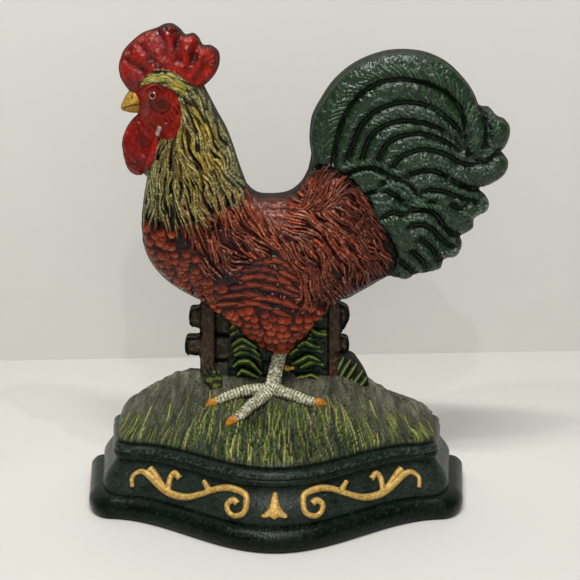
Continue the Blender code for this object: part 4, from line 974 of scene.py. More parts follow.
def paint_tail_root(strand):
    """Red strands that end over the foot of the tail."""
    way = flow([
        (308, 196, 313, 180), (320, 188, 328, 172), (330, 190, 341, 176), (338, 190, 352, 181),
        (346, 196, 359, 203), (350, 206, 363, 217), (356, 218, 367, 231), (362, 232, 373, 246),
        (368, 248, 378, 262), (366, 262, 376, 276), (374, 274, 383, 284), (350, 224, 360, 237)])
    area = [
        (306, 194), (313, 166), (324, 162), (340, 166), (356, 178), (368, 197), (376, 215), (388, 236),
        (394, 258), (390, 278), (378, 280), (370, 262), (362, 240), (350, 222), (336, 210), (320, 204)]
    mask = BODY_MASK | PLUMES_MASK
    near = line_distance(spots_in(mask), [FINE[name] for name in ROOT_SEAMS])
    tint(mask, paint(16, 12, 10), 0.85 * ease((3.4 - near) / 2.4))

    def dim_strand(p):
        rim, flank, ridge = strand(p)
        return rim, flank * 0.7, ridge * RNG.uniform(0.5, 1)

    def from_the_right(p):
        return -p[:, 0]

    feathers(area, way, 3.2, 7.5, 1.15, 2.2, dim_strand, mask, from_the_right, wave=0.4, pitch=5.0)


def paint_head():
    """Comb, face, beak, wattle and the details round the eye."""
    comb, face, beak = MASK["comb"], MASK["face"], MASK["beak"]
    wattle = MASK["wattle"] | face
    for name, low_tone, high_tone in (("comb", paint(66, 14, 9), paint(172, 36, 14)),
                                      ("wattle", paint(86, 14, 7), paint(156, 28, 12)),
                                      ("face", paint(112, 22, 10), paint(156, 34, 14))):
        area = MASK[name]
        spots = spots_in(area)
        figure.rgb[area] = mix(low_tone, high_tone, 0.5 + 0.5 * grain(spots, 4.5, 11))
        figure.lift[area] = 0.4 * grain(spots, 2.2, 13) + 0.24 * grain(spots, 0.9, 17) + 0.2
    dab((204, 74), head_depth, (8, 8), paint(200, 40, 16), 0.75, comb)
    worn = line_distance(spots_in(comb), [FINE["comb_edge"]])
    tint(comb, paint(54, 34, 28), 0.6 * ease((2.2 - worn) / 2))
    # Pink patches on the comb's upper left: painted highlights.
    dab((158, 50), head_depth, (10, 9), paint(186, 70, 74), 0.45, comb)
    dab((135, 74), head_depth, (5, 5), paint(186, 70, 70), 0.4, comb)
    # Dark folds cut into the comb: painted shade.
    cut([[(158, 32), (163, 42), (166, 56)], [(176, 34), (178, 46), (178, 60)],
         [(196, 46), (193, 58), (188, 70)], [(140, 44), (148, 54), (154, 62)],
         [(127, 60), (136, 66), (144, 72)], [(206, 60), (202, 70), (196, 80)]],
        head_depth, 3.2, 1.3, paint(40, 10, 8), 0.6, comb, soft=1.2)
    # Raised lighter lines between the folds: painted highlights.
    cut([[(165, 30), (168, 42), (168, 58)], [(186, 38), (186, 52), (184, 66)],
         [(148, 38), (155, 48), (160, 58)]],
        head_depth, 1.0, -0.25, paint(180, 44, 38), 0.3, comb)
    # Small knobs with pale tops: painted glints.
    for u, v in ((152, 38), (140, 42), (127, 55), (147, 32)):
        knob = seen([(u, v)], head_depth)[0]
        stroke_on_top([knob, knob + (0.6, 0.8)], 1.3, 1.1, paint(178, 84, 76), comb)
    # Dark notches between the lobes: painted shade.
    for u, v, r in ((165, 28, 1.5), (176, 44, 2.0), (193, 58, 2.4), (186, 30, 1.6)):
        figure.groove(seen([(u, v - 2), (u, v + 2)], head_depth), r, 0.5, paint(36, 10, 10), 0.85, comb)
    # Painted glints in pale pink on the comb and the wattle, then dark flecks.
    for name in ("comb", "wattle"):
        glints_and_flecks(MASK[name], paint(214, 128, 112), 0.5, 0.75, 71, 0.1)
        glints_and_flecks(MASK[name], paint(40, 12, 10), 0.5, 0.9, 79, 0.0)
    cut([[(140, 122), (138, 134), (141, 146), (146, 156)]], head_depth, 1.6, 0.4, paint(92, 12, 16), 0.5,
        wattle)
    fold = drawn([(156, 137), (155, 147), (151, 157), (145, 167)], head_depth)
    figure.stroke(fold, 2.4, 0.7, (paint(96, 10, 8), paint(160, 20, 14), paint(172, 34, 26)), wattle,
                  (0.2, 6))
    for u, v in ((138, 141), (143, 146), (137, 162), (147, 140)):
        figure.groove(seen([(u, v), (u + 1.5, v + 1)], head_depth), 1.1, 0.5, paint(70, 10, 14), 0.7, wattle)
    dab((161, 104), body_depth, (6.5, 4.6), paint(84, 28, 18), 1.0, face)
    below_eye = [(150, 101), (153, 109), (160, 113), (167, 111), (171, 104)]
    cut([below_eye], body_depth, 0.8, 0.4, paint(60, 10, 12), 0.9, face)
    for a, b in (((164, 119), (169, 125)), ((167, 115), (172, 122)), ((170, 111), (175, 119)),
                 ((173, 107), (178, 114)), ((176, 103), (180, 108))):
        figure.groove(seen([a, b], body_depth), 0.55, 0.45, paint(64, 12, 14), 0.9, face | MASK["hackle"])
    brow = drawn([(146, 89), (150, 86), (155, 84.5), (160, 87), (164, 92)], body_depth)
    figure.stroke(brow, 0.8, 0.5, (paint(70, 12, 12), paint(150, 24, 22), paint(190, 50, 44)), face, (0.1, 8))
    below_brow = [(147, 92), (150, 88.5), (155, 87), (160, 89.5), (163, 93)]
    cut([below_brow], body_depth, 0.5, 0.3, paint(50, 10, 12), 0.9, face)
    lobe_light = seen([(160, 126.5), (158.5, 130), (157, 135.5)], body_depth)
    figure.stroke(lobe_light, 1.3, 0.5, (paint(150, 60, 50), paint(206, 180, 158), paint(222, 206, 186)),
                  None, (0.05, 30))
    ochre = 0.5 + 0.5 * grain(spots_in(beak), 2, 19)
    figure.rgb[beak] = mix(paint(190, 150, 62), paint(168, 124, 44), ochre)
    figure.lift[beak] = 0.6
    cut([[(124, 108), (129, 106), (134, 105), (141, 104)]], head_depth, 0.5, 0.5, paint(56, 30, 14), 0.95,
        beak | face)
    figure.groove(seen([(131.8, 97.5), (132.4, 97.8)], head_depth), 0.8, 0.5, BLACK, 1.0, beak)
    dab((136, 96), head_depth, (2.4, 1.8), paint(212, 180, 100), 0.8, beak)


def paint_fence():
    """Weathered posts and rails with dark gaps between them."""
    area = MASK["fence_left"] | MASK["fence_right"]
    spots = spots_in(area)
    streak = grain(spots * (1, 0.35), 1.1, 23)
    figure.rgb[area] = mix(paint(24, 20, 15), paint(68, 58, 44), 0.5 + 0.5 * streak)
    tint(area, paint(120, 118, 102), 0.4 * ease(grain(spots, 1.2, 33) * 2 - 0.6))
    figure.lift[area] = 0.3 * streak + 0.15 * grain(spots, 0.9, 35)
    edge = line_distance(spots, [FINE["post_left_edge"], FINE["post_right_edge"]])
    tint(area, paint(20, 18, 14), 0.7 * ease((1.6 - edge) / 1.4))
    figure.lift[area] -= 2.4 * ease((3.4 - edge) / 3.4) ** 1.5
    # Near-black for the gaps and recesses between the rails and posts: painted shade.
    gap = paint(12, 11, 10)
    left = MASK["fence_left"]
    for points in ([(216, 333), (232, 333), (234, 337.5), (216, 337.5)],
                   [(216, 359), (235, 359), (236, 363), (216, 363)],
                   [(216, 300), (236, 300), (236, 313), (216, 313)]):
        hole = within(points, fence_depth) & left
        figure.rgb[hole] = gap
        figure.lift[hole] = -3.5
    for points, side, lift, colour, gaps in (
            ([(201, 296), (215, 296), (215, 385), (201, 385)], "fence_left", 1.6, paint(86, 66, 50),
             (([(215.5, 300), (215.5, 384)], 0.9, 0.8, 0.9), ([(201, 302), (201, 340)], 0.8, 0.6, 0.7))),
            ([(328, 296), (340, 296), (341, 385), (328, 385)], "fence_right", 1.4, paint(82, 62, 49), ())):
        post = within(points, fence_depth) & MASK[side]
        figure.lift[post] += lift
        tint(post, colour, 0.45)
        for line, width, deep, strength in gaps:
            figure.groove(seen(line, fence_depth), width, deep, gap, strength, area)
    dab((331, 370), fence_depth, (1.6, 5), paint(110, 52, 38), 0.6, area)
    for line in ([(340.5, 302), (340.5, 362)], [(328, 310), (328, 380)]):
        figure.groove(seen(line, fence_depth), 0.8, 0.7, gap, 0.8, area)
    lump = within([(215, 364), (230, 362), (238, 376), (236, 392), (215, 392)], fence_depth) & left
    tint(lump, paint(98, 98, 92), 0.5)


BLADES = [
    [(230, 330), (236, 326), (243, 328)], [(230, 336), (238, 333), (246, 335)],
    [(232, 347), (240, 341), (248, 343), (258, 350)], [(233, 352), (241, 348), (250, 350), (262, 358)],
    [(234, 358), (242, 354), (252, 355), (262, 364)],
    [(233, 369), (240, 363), (248, 364), (256, 369), (262, 376)],
    [(236, 377), (243, 374), (252, 376), (259, 380)], [(234, 386), (243, 382), (254, 385), (262, 390)],
    [(310, 330), (318, 334), (328, 336)], [(309, 338), (317, 334), (327, 333)],
    [(307, 341), (315, 338), (325, 337)], [(297, 348), (304, 344), (312, 345), (322, 350)],
    [(290, 356), (300, 350), (312, 350), (324, 356)], [(288, 360), (294, 352), (302, 350)],
    [(293, 366), (300, 361), (310, 358), (322, 364)], [(300, 369), (308, 364), (316, 364), (325, 369)],
    [(292, 384), (298, 379), (306, 377), (312, 377), (322, 382)], [(302, 379), (313, 384), (316, 396)],
    [(296, 393), (308, 396)], [(236, 320), (244, 318), (250, 322)], [(305, 322), (314, 318), (324, 322)]]


def paint_tufts():
    """Curled blades of grass in front of the fence, and the leaves at the right post."""
    for name in ("grass_tuft_left", "grass_tuft_right"):
        area = MASK[name]
        spots = spots_in(area)
        figure.rgb[area] = mix(BLACK, paint(20, 42, 24), 0.5 + 0.5 * grain(spots, 2.5, 29))
        figure.lift[area] = 0.4 * grain(spots, 2.0, 31)
    mask = MASK["grass_tuft_left"] | MASK["grass_tuft_right"]
    for i, blade in enumerate(sorted(BLADES, key=lambda b: -b[0][1])):
        line = smooth(seen(blade, blade_depth) + RNG.normal(0, 0.35, (len(blade), 2)))
        bright = paint(220, 214, 104) if i % 3 else paint(164, 176, 66)
        body = (TUFT_DARK, paint(22, 50, 26), paint(38, 70, 34))
        edge = (paint(48, 76, 30), paint(104, 128, 44), bright)
        figure.stroke(line, 2.6, 2.2, body, mask, (0.3, 3), base=0.6)
        figure.stroke(line + (0, 0.9), 0.95, 1.3, edge, mask, (0.35, 3), base=1.6)
    spots = spots_in(mask)
    tint(mask, TUFT_DARK, 0.55 * ease(grain(spots, 1.2, 49) * 1.8 - 0.2))
    area = MASK["grass_leaves_right"]
    spots = spots_in(area)
    figure.rgb[area] = mix(TUFT_DARK, paint(44, 54, 34), 0.5 + 0.5 * grain(spots, 2.5, 37))
    for leaf in LEAVES_RIGHT:
        line = drawn(leaf, tuft_depth)
        body = (TUFT_DARK, paint(60, 72, 46), paint(92, 102, 66))
        edge = (paint(90, 102, 56), paint(126, 138, 74), paint(170, 174, 106))
        figure.stroke(line, 1.7, 1.5, body, area, (0.15, 4))
        figure.stroke(line + (0.25, 0.5), 0.55, 0.8, edge, area, (0.2, 3), base=1.1)


LEAVES_RIGHT = [
    [(343, 358), (338, 368), (333, 382)], [(350, 360), (343, 371), (335, 388)],
    [(356, 364), (348, 376), (338, 392)], [(362, 371), (354, 382), (344, 396)],
    [(366, 378), (358, 388), (350, 398)]]


def paint_leg():
    """Pale, speckled, scaly leg."""
    area = MASK["leg_and_foot"]
    spots = spots_in(area)
    speck = ease((grain(spots, 0.8, 41) + 0.3) * 1.2)
    figure.rgb[area] = mix(paint(84, 82, 58), paint(206, 200, 170), speck)
    figure.lift[area] = 0.35 * grain(spots, 1.1, 43) + 0.2 * grain(spots, 0.5, 45)


strand_colours = paint_breast_and_body()
paint_hackle()
paint_tail()
paint_tail_root(strand_colours)
paint_head()
paint_fence()
paint_tufts()
paint_leg()


def link(name, mesh, slot):
    """Show a mesh as one piece that stands for the part's node of that name."""
    made = bpy.data.objects.new(name + "_painted", mesh)
    bpy.context.scene.collection.objects.link(made)
    made.data.materials.clear()
    made.data.materials.append(ENAMEL[slot])
    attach(made, "root")
    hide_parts(name)
    return made


def dress(mesh, colours, gloss=1.0):
    """Shade a mesh smooth, with a colour and a gloss for each corner."""
    layer = mesh.color_attributes.get("paint") or mesh.color_attributes.new("paint", 'FLOAT_COLOR', 'POINT')
    shares = np.broadcast_to(gloss, len(colours))
    layer.data.foreach_set("color", np.column_stack([np.clip(colours, 0, 1), shares]).ravel())
    mesh.polygons.foreach_set("use_smooth", np.ones(len(mesh.polygons), bool))


def read(mesh, what):
    """A vector for each corner of a mesh: its co or its normal."""
    values = np.zeros(len(mesh.vertices) * 3)
    mesh.vertices.foreach_get(what, values)
    return values.reshape(-1, 3)


def quads(a, b, c, d):
    """Two triangles for each face with four corners."""
    return np.vstack([np.column_stack([a, b, c]), np.column_stack([a, c, d])])


def looped(outline):
    """An outline as a line that ends where it starts."""
    return np.vstack([outline, outline[:1]])


def clockwise(outline):
    x, z = outline.T
    return np.sum(x * np.roll(z, -1) - np.roll(x, -1) * z) < 0


def solid(name, places, triangles, colours, sharp=(), gloss=1.0):
    """A mesh from corners in the drawing frame, triangles, and a colour and gloss for each corner."""
    mesh = bpy.data.meshes.new(name)
    mesh.vertices.add(len(places))
    mesh.vertices.foreach_set("co", (places * MM + ORIGIN).ravel())
    mesh.loops.add(triangles.size)
    mesh.loops.foreach_set("vertex_index", triangles.ravel().astype(np.int32))
    mesh.polygons.add(len(triangles))
    mesh.polygons.foreach_set("loop_start", np.arange(0, triangles.size, 3, dtype=np.int32))
    mesh.polygons.foreach_set("loop_total", np.full(len(triangles), 3, np.int32))
    mesh.update(calc_edges=True)
    mesh.validate()
    dress(mesh, colours, gloss)
    if len(sharp):
        ends = np.zeros(len(mesh.edges) * 2, np.int32)
        mesh.edges.foreach_get("vertices", ends)
        ends = np.sort(ends.reshape(-1, 2), axis=1)
        keys = ends[:, 0].astype(np.int64) * len(places) + ends[:, 1]
        wanted = np.sort(np.asarray(sharp, np.int64), axis=1)
        wanted = wanted[:, 0] * len(places) + wanted[:, 1]
        mark = mesh.attributes.new("sharp_edge", 'BOOLEAN', 'EDGE')
        mark.data.foreach_set("value", np.isin(keys, wanted))
    mesh.update()
    return mesh


def fill(outline, inner):
    """Triangles over an outline and the points inside it."""
    n = len(outline)
    points = [Vector(p) for p in np.vstack([outline, inner])]
    made = delaunay_2d_cdt(points, [], [list(range(n))], 1, 1e-6, True)
    order = [ids[0] for ids in made[3]]
    faces = np.array([[order[i] for i in face] for face in made[2]])
    p = np.vstack([outline, inner])
    faces = faces[inside(p[faces].mean(axis=1), outline)]
    a, b, c = p[faces[:, 0]], p[faces[:, 1]], p[faces[:, 2]]
    area = (b[:, 0] - a[:, 0]) * (c[:, 1] - a[:, 1]) - (b[:, 1] - a[:, 1]) * (c[:, 0] - a[:, 0])
    faces[area < 0] = faces[area < 0][:, ::-1]
    return faces


def grid_points(outline, spacing, margin):
    """Points of a staggered grid well inside an outline."""
    p = staggered(outline, spacing, 0.9)
    p = p[inside(p, outline)]
    return p[line_distance(p, [looped(outline)]) > margin]


# A plate's back: the width of its flush rim, the run into the hollow, and its grid
RIM_WIDTH, RIM_RUN, BACK_SPACING, BACK_MARGIN = 4.5, 3, 2.2, 0.9


def plate(name, outline, depth, rims, slot, spacing=0.36, hollow=True, relief=1.0, pit=0.06, closed_near=(),
          sunk=0.0):
    """One closed body of the figure: relief in front, open hollow behind, grey iron at its sides."""
    outline = outline[np.linalg.norm(outline - np.roll(outline, 1, axis=0), axis=1) > 0.05]
    if clockwise(outline):
        outline = outline[::-1]
    n = len(outline)
    ahead = np.roll(outline, -1, axis=0) - np.roll(outline, 1, axis=0)
    inward = np.column_stack([-ahead[:, 1], ahead[:, 0]]) / np.linalg.norm(ahead, axis=1)[:, None]
    ring = outline + inward * 0.3
    ring = ring[inside(ring, outline)]
    ring = ring[line_distance(ring, [looped(outline)]) > 0.22]
    inner = np.vstack([ring, grid_points(outline, spacing, 0.5)])
    flat = np.vstack([outline, inner])
    lift, colour = figure.at(flat)
    edge = line_distance(flat, rims) if rims else np.full(len(flat), 9.0)
    y = depth(flat) + lift * relief * ease(edge)
    fine = pit * (0.6 * grain(flat, 1.3, 51) + 0.4 * grain(flat, 0.7, 53))
    front = np.column_stack([flat[:, 0], -(y + fine), flat[:, 1]])
    back_inner = grid_points(outline, BACK_SPACING, BACK_MARGIN)
    back_flat = np.vstack([outline, back_inner])
    open_depth = np.full(len(back_flat), sunk)
    if hollow:
        rim = line_distance(back_flat, [*rims, *closed_near])
        open_depth = np.maximum(0, depth(back_flat) - WALL) * ease((rim - RIM_WIDTH) / RIM_RUN)
    back = np.column_stack([back_flat[:, 0], -open_depth, back_flat[:, 1]])
    middle = np.column_stack([outline[:, 0], (front[:n, 1] - open_depth[:n]) / 2 + 0.8, outline[:, 1]])
    b0 = len(front)
    m0 = b0 + len(back)
    i = np.arange(n)
    j = (i + 1) % n
    triangles = np.vstack([fill(outline, inner), fill(outline, back_inner)[:, ::-1] + b0,
                           quads(i, m0 + i, m0 + j, j), quads(m0 + i, b0 + i, b0 + j, m0 + j)])
    around = sum(np.roll(colour[:n], k, axis=0) for k in range(-15, 16)) / 31
    side = mix(around * 0.6, IRON, 0.15 if slot in ("comb_red", "face_red") else 0.4)
    gloss = np.concatenate([0.1 + 0.9 * ease(edge / 1.5), np.zeros(len(back) + n)])
    colours = np.vstack([mix(colour, IRON, 0.3 * ease(1 - edge / 0.7)),
                         np.tile(BACK_IRON, (len(back), 1)), side])
    sharp = np.vstack([np.column_stack([i, j]), np.column_stack([b0 + i, b0 + j])])
    mesh = solid(name, np.vstack([front, back, middle]), triangles, colours, sharp, gloss)
    return link(name, mesh, slot)


def new_material(name):
    """A material with its nodes, links and shader."""
    material = bpy.data.materials.new(name)
    material.use_nodes = True
    tree = material.node_tree
    return material, tree.nodes, tree.links, tree.nodes["Principled BSDF"]


def add_node(nodes, kind, **inputs):
    """A node with some of its inputs set; an underscore in an input's name is a space."""
    node = nodes.new("ShaderNode" + kind)
    for key, value in inputs.items():
        node.inputs[key.replace("_", " ")].default_value = value
    return node


def add_mix(nodes, blend='MIX'):
    """A node that mixes two colours: its sockets 6 and 7 take them, and its output 2 gives the result."""
    node = nodes.new("ShaderNodeMix")
    node.data_type = 'RGBA'
    node.blend_type = blend
    return node


def speckled(name, rough, metal=0.0, shine=0.2, grit=0.35, fleck=0.3, size=0.001, deep=0.0004):
    """Brushed-on enamel over rough cast iron: painted colours, fine pits and uneven gloss."""
    material, nodes, links, shader = new_material(name)
    place = add_node(nodes, "TexCoord").outputs["Object"]
    colour = add_node(nodes, "VertexColor")
    colour.layer_name = "paint"
    pits = add_node(nodes, "TexNoise", Scale=1 / size, Detail=3.0, Roughness=0.65)
    broad = add_node(nodes, "TexNoise", Scale=240.0, Detail=4.0)
    shade = add_node(nodes, "MapRange", From_Min=0.3, From_Max=0.7, To_Min=1 - fleck * 2, To_Max=1 + fleck)
    tone = add_mix(nodes, 'MULTIPLY')
    tone.inputs["Factor"].default_value = 1.0
    gloss = add_node(nodes, "MapRange", From_Min=0.35, From_Max=0.65,
                     To_Min=rough - 0.03, To_Max=rough + 0.12)
    matt = add_node(nodes, "Mix", A=0.85)
    bump = add_node(nodes, "Bump", Strength=grit, Distance=deep)
    for output, socket in (
            (place, pits.inputs["Vector"]), (place, broad.inputs["Vector"]),
            (pits.outputs["Fac"], shade.inputs["Value"]), (colour.outputs["Color"], tone.inputs[6]),
            (shade.outputs["Result"], tone.inputs[7]), (tone.outputs[2], shader.inputs["Base Color"]),
            (broad.outputs["Fac"], gloss.inputs["Value"]), (colour.outputs["Alpha"], matt.inputs["Factor"]),
            (gloss.outputs["Result"], matt.inputs["B"]), (matt.outputs["Result"], shader.inputs["Roughness"]),
            (pits.outputs["Fac"], bump.inputs["Height"]), (bump.outputs["Normal"], shader.inputs["Normal"])):
        links.new(output, socket)
    shader.inputs["Specular IOR Level"].default_value = shine
    shader.inputs["Metallic"].default_value = metal
    return material


ENAMEL = {name: speckled(name, **look) for name, look in {
    "base_green": dict(rough=0.14, grit=0.6, shine=0.16),
    "gilt": dict(rough=0.36, metal=0.3, grit=0.8, shine=0.4),
    "mound_green": dict(rough=0.26, grit=0.8, shine=0.16),
    "tuft_green": dict(rough=0.13, grit=0.5, shine=0.26),
    "fence_brown": dict(rough=0.22, grit=0.8, shine=0.14),
    "leg_grey": dict(rough=0.3, grit=0.7),
    "claw_orange": dict(rough=0.26),
    "feather_red": dict(rough=0.1, grit=0.4, shine=0.24),
    "hackle_olive": dict(rough=0.13, grit=0.4),
    "comb_red": dict(rough=0.1, grit=0.6, shine=0.24),
    "face_red": dict(rough=0.12, grit=0.5),
    "beak_ochre": dict(rough=0.22, grit=0.2),
    "eye_black": dict(rough=0.1, grit=0.05, shine=0.4),
    "tail_green": dict(rough=0.1, grit=0.7, shine=0.4),
}.items()}

# For each kind of element: its depth, its free rims, whether it is hollow behind, and how deep its pits are
SETTINGS = {
    "body": (body_depth, BODY_RIMS, True, 0.06), "head": (head_depth, HEAD_RIMS, False, 0.15),
    "tail": (tail_depth, TAIL_RIMS, True, 0.15), "fence": (fence_depth, (), False, 0.15),
    "tuft": (tuft_depth, (), False, 0.06), "leaf": (tuft_depth, ("leaves_edge",), False, 0.06),
}
LOBE_LINE = smooth([(x, z + CREST) for x, z in EAR_LOBE + EAR_LOBE[:1]], 0.4)
EYE_MARK = np.array(EYE_CENTRE) + [[0, CREST], [0.1, CREST]]
BOSSES = [LOBE_LINE, EYE_MARK] + [FINE[rim] for rim in BELLY_RIMS]
for name, (kind, slot, steps) in ELEMENTS.items():
    if kind in SETTINGS:
        depth, rims, hollow, pit = SETTINGS[kind]
        bosses = BOSSES if kind == "body" else ()
        plate(name, REGION[name], depth, [FINE[rim] for rim in rims], slot, hollow=hollow, pit=pit,
              closed_near=bosses)


def bow(half_width, depth, x):
    """Depth of the bow front at x, out to its shoulders."""
    span = BOW_SPAN * half_width / HALF_WIDTH
    shoulder = SHOULDER - (DEPTH - depth) * SHOULDER_SHARE
    wave = 0.5 * (1 + np.cos(np.pi * np.clip(np.abs(x) / span, 0, 1)))
    return shoulder + (depth - shoulder) * wave


def front_depth(half_width, depth, x):
    """Depth of the whole front at x, with its rounded corners."""
    corner = half_width - CORNER_RUN
    end = END - (DEPTH - depth) * END_SHARE
    beyond = np.clip((np.abs(x) - corner) / CORNER_RUN, 0, 1)
    turn = end + (bow(half_width, depth, corner) - end) * np.sqrt(1 - beyond ** 2)
    return np.where(np.abs(x) <= corner, bow(half_width, depth, x), turn)


def plan(side, front):
    """The base's outline in plan, drawn in at the ends and at the front, from the left back corner."""
    half_width, depth = HALF_WIDTH - side, DEPTH - front
    corner = half_width - CORNER_RUN
    middle = corner * np.linspace(-1, 1, 261)
    angles = np.radians(np.linspace(90, 0, 19))[:-1]
    left = -corner - CORNER_RUN * np.sin(angles)
    x = np.concatenate([left, middle, -left[::-1]])
    y = -front_depth(half_width, depth, x)
    back = END - (DEPTH - depth) * END_SHARE
    ends = np.linspace(0, 1, 30)[:-1]
    left_x = -half_width - END_FLARE * (1 - ends)
    left_y = -back * ends
    x = np.concatenate([left_x, x, -left_x[::-1]])
    y = np.concatenate([left_y, y, left_y[::-1]])
    return np.column_stack([x, y])


def curve_through(pairs, count):
    """Values between pairs, eased like a moulder's line."""
    fine = smooth(pairs, 0.02)
    order = np.argsort(fine[:, 0])
    fine = fine[order]
    at = np.linspace(pairs[0][0], pairs[-1][0], count)
    return at, np.interp(at, fine[:, 0], fine[:, 1])


BAND_STEP, SHARP = 0.55, math.radians(50)


def band(name, foot, height, profile, side, front, side_run, front_run, inner, colour_of, pit=0.1):
    """A moulded band swept round the base, open at the back."""
    shares, parts = curve_through(profile, max(20, round(height / BAND_STEP)))
    outer = [(foot + height * s, side + side_run * p, front + front_run * p) for s, p in zip(shares, parts)]
    levels = outer + [(foot + height * s, a, b) for s, a, b in inner]
    rings = np.array([np.column_stack([plan(a, b), np.full(len(plan(a, b)), z)]) for z, a, b in levels])
    m, n = rings.shape[:2]
    places = rings.reshape(-1, 3)
    i, j = (index.ravel() for index in np.meshgrid(np.arange(m), np.arange(n - 1), indexing="ij"))
    k = (i + 1) % m
    triangles = [quads(i * n + j, i * n + j + 1, k * n + j + 1, k * n + j)]
    for column, turned in ((0, 1), (n - 1, -1)):
        faces = fill(rings[:, column, [0, 2]], np.zeros((0, 2)))
        triangles.append((np.arange(m) * n + column)[faces][:, ::turned])
    normal = np.cross(np.gradient(rings, axis=1), np.gradient(rings, axis=0)).reshape(-1, 3)
    normal /= np.maximum(np.linalg.norm(normal, axis=1), 1e-9)[:, None]
    away = normal * (pit * (0.35 * grain(places, 1.3, 61) + 0.65 * grain(places, 0.6, 67)))[:, None]
    row, column = np.divmod(np.arange(len(places)), n)
    away[(row == 0) | (row >= len(outer) - 1) | (column == 0) | (column == n - 1)] = 0
    colours = np.where((row < len(outer))[:, None], colour_of(places), BACK_IRON)
    mesh = solid(name, places + away, np.vstack(triangles), colours)
    shape = bmesh.new()
    shape.from_mesh(mesh)
    bmesh.ops.recalc_face_normals(shape, faces=shape.faces)
    for edge in shape.edges:
        edge.smooth = edge.is_manifold and edge.calc_face_angle(0) < SHARP
    shape.to_mesh(mesh)
    shape.free()
    return link(name, mesh, "base_green")


def base_colour(p):
    """Very dark green enamel, with grey-green flecks that are partly dust and wear, partly painted glints."""
    tone = mix(paint(3, 14, 11), paint(6, 28, 20), 0.5 + 0.5 * grain(p, 6, 71))
    return mix(tone, paint(84, 100, 90), 0.12 * ease((grain(p, 0.6, 73) - 0.2) * 2.5))


def apron_sheen_colour(p):
    """The same enamel, lightened with a gritty grey that paints a sheen."""
    return mix(base_colour(p), paint(72, 84, 74), 0.24 + 0.2 * grain(p, 0.5, 79) + 0.12 * grain(p, 5, 83))


def bead_colour(p):
    """The same enamel, greyer, with a pale band along the bead's crest that is a painted highlight."""
    # A pale band along the bead's crest: painted highlight.
    worn = ease(1 - np.abs(p[:, 2] - 31.5) / 2.2) * ease(grain(p, 0.7, 77) * 2)
    tone = mix(base_colour(p), paint(60, 76, 66), 0.14 + 0.12 * grain(p, 1.4, 75))
    return mix(tone, paint(150, 160, 144), 0.22 * worn)


TOP_SIDE, TOP_FRONT = PLINTH_SIDE + APRON_SIDE, PLINTH_FRONT + APRON_FRONT
SEAT_SIDE, SEAT_FRONT = TOP_SIDE + BEAD_SEAT + LEDGE_SIDE, TOP_FRONT + BEAD_SEAT + LEDGE_FRONT
PLINTH_PROFILE = [(0, 0.19), (0.18, 0.04), (0.41, 0), (0.64, 0.09), (0.85, 0.37), (0.95, 0.62), (1, 0.92)]
APRON_PROFILE = [(0, 0), (0.15, 0.03), (0.3, 0.12), (0.5, 0.36), (0.7, 0.66), (0.85, 0.86), (1, 1)]
BEAD_PROFILE = [
    (0, -0.1), (0.1, 0.7), (0.24, 1), (0.38, 0.85), (0.46, 0.45), (0.54, 0.6), (0.66, 0.72), (0.78, 0.4),
    (0.88, 0), (1, -0.9)]
INNER_SIDE, INNER_FRONT = PLINTH_SIDE + WALL, PLINTH_FRONT + WALL
band("plinth", 0, PLINTH_H, PLINTH_PROFILE, 0, 0, PLINTH_SIDE, PLINTH_FRONT,
     [(1, INNER_SIDE, INNER_FRONT), (0.5, WALL, WALL), (0, WALL, WALL)], base_colour)
band("apron", PLINTH_H, APRON_H, APRON_PROFILE, PLINTH_SIDE, PLINTH_FRONT, APRON_SIDE, APRON_FRONT,
     [(1, SEAT_SIDE, SEAT_FRONT), (0, INNER_SIDE, INNER_FRONT)], apron_sheen_colour, 0.14)
band("bead", PLINTH_H + APRON_H, BEAD_H, BEAD_PROFILE, TOP_SIDE, TOP_FRONT, -BEAD_ROLL, -BEAD_ROLL,
     [(1, SEAT_SIDE, SEAT_FRONT), (0, SEAT_SIDE, SEAT_FRONT)], bead_colour)

SEAT_GAP = 0.1
MOUND_FOOT = PLINTH_H + APRON_H + BEAD_H + SEAT_GAP
MOUND_HALF = HALF_WIDTH - TOP_SIDE + BEAD_ROLL - LEDGE_SIDE
MOUND_REACH = DEPTH - TOP_FRONT + BEAD_ROLL - LEDGE_FRONT
RIPPLE, RIPPLE_PITCH = 0.8, 23
GREY_BLADES, GREEN_BLADES, LONG_BLADES = 1500, 520, 230


def skyline(x):
    """Height of the mound along the back plane."""
    fine = smooth(MOUND_SKYLINE, 1.0)
    return np.interp(x, fine[:, 0], fine[:, 1] + CREST)


def mound_height(x, y):
    """Height of the mound's surface at places in plan."""
    reach = front_depth(MOUND_HALF, MOUND_REACH, np.minimum(np.abs(x), MOUND_HALF))
    along = 1 - np.clip(-y / reach, 0, 1)
    edge = MOUND_FOOT + 1.5
    ripple = RIPPLE * np.sin(2 * np.pi * x / RIPPLE_PITCH) * np.sin(np.pi * along)
    return edge + (np.maximum(skyline(x), edge) - edge) * along * (1 + 0.25 * (1 - along)) + ripple


def ground(points):
    """Places in plan where the camera sees the mound at points of the picture."""
    rays = rays_through(points)
    near, far = np.full(len(rays), NEAREST), np.full(len(rays), FARTHEST)
    for _ in range(HALVINGS):
        middle = (near + far) / 2
        hit = EYE_POINT + rays * middle[:, None]
        above = hit[:, 2] > mound_height(hit[:, 0], np.minimum(hit[:, 1], 0))
        near, far = np.where(above, middle, near), np.where(above, far, middle)
    return hit[:, :2]


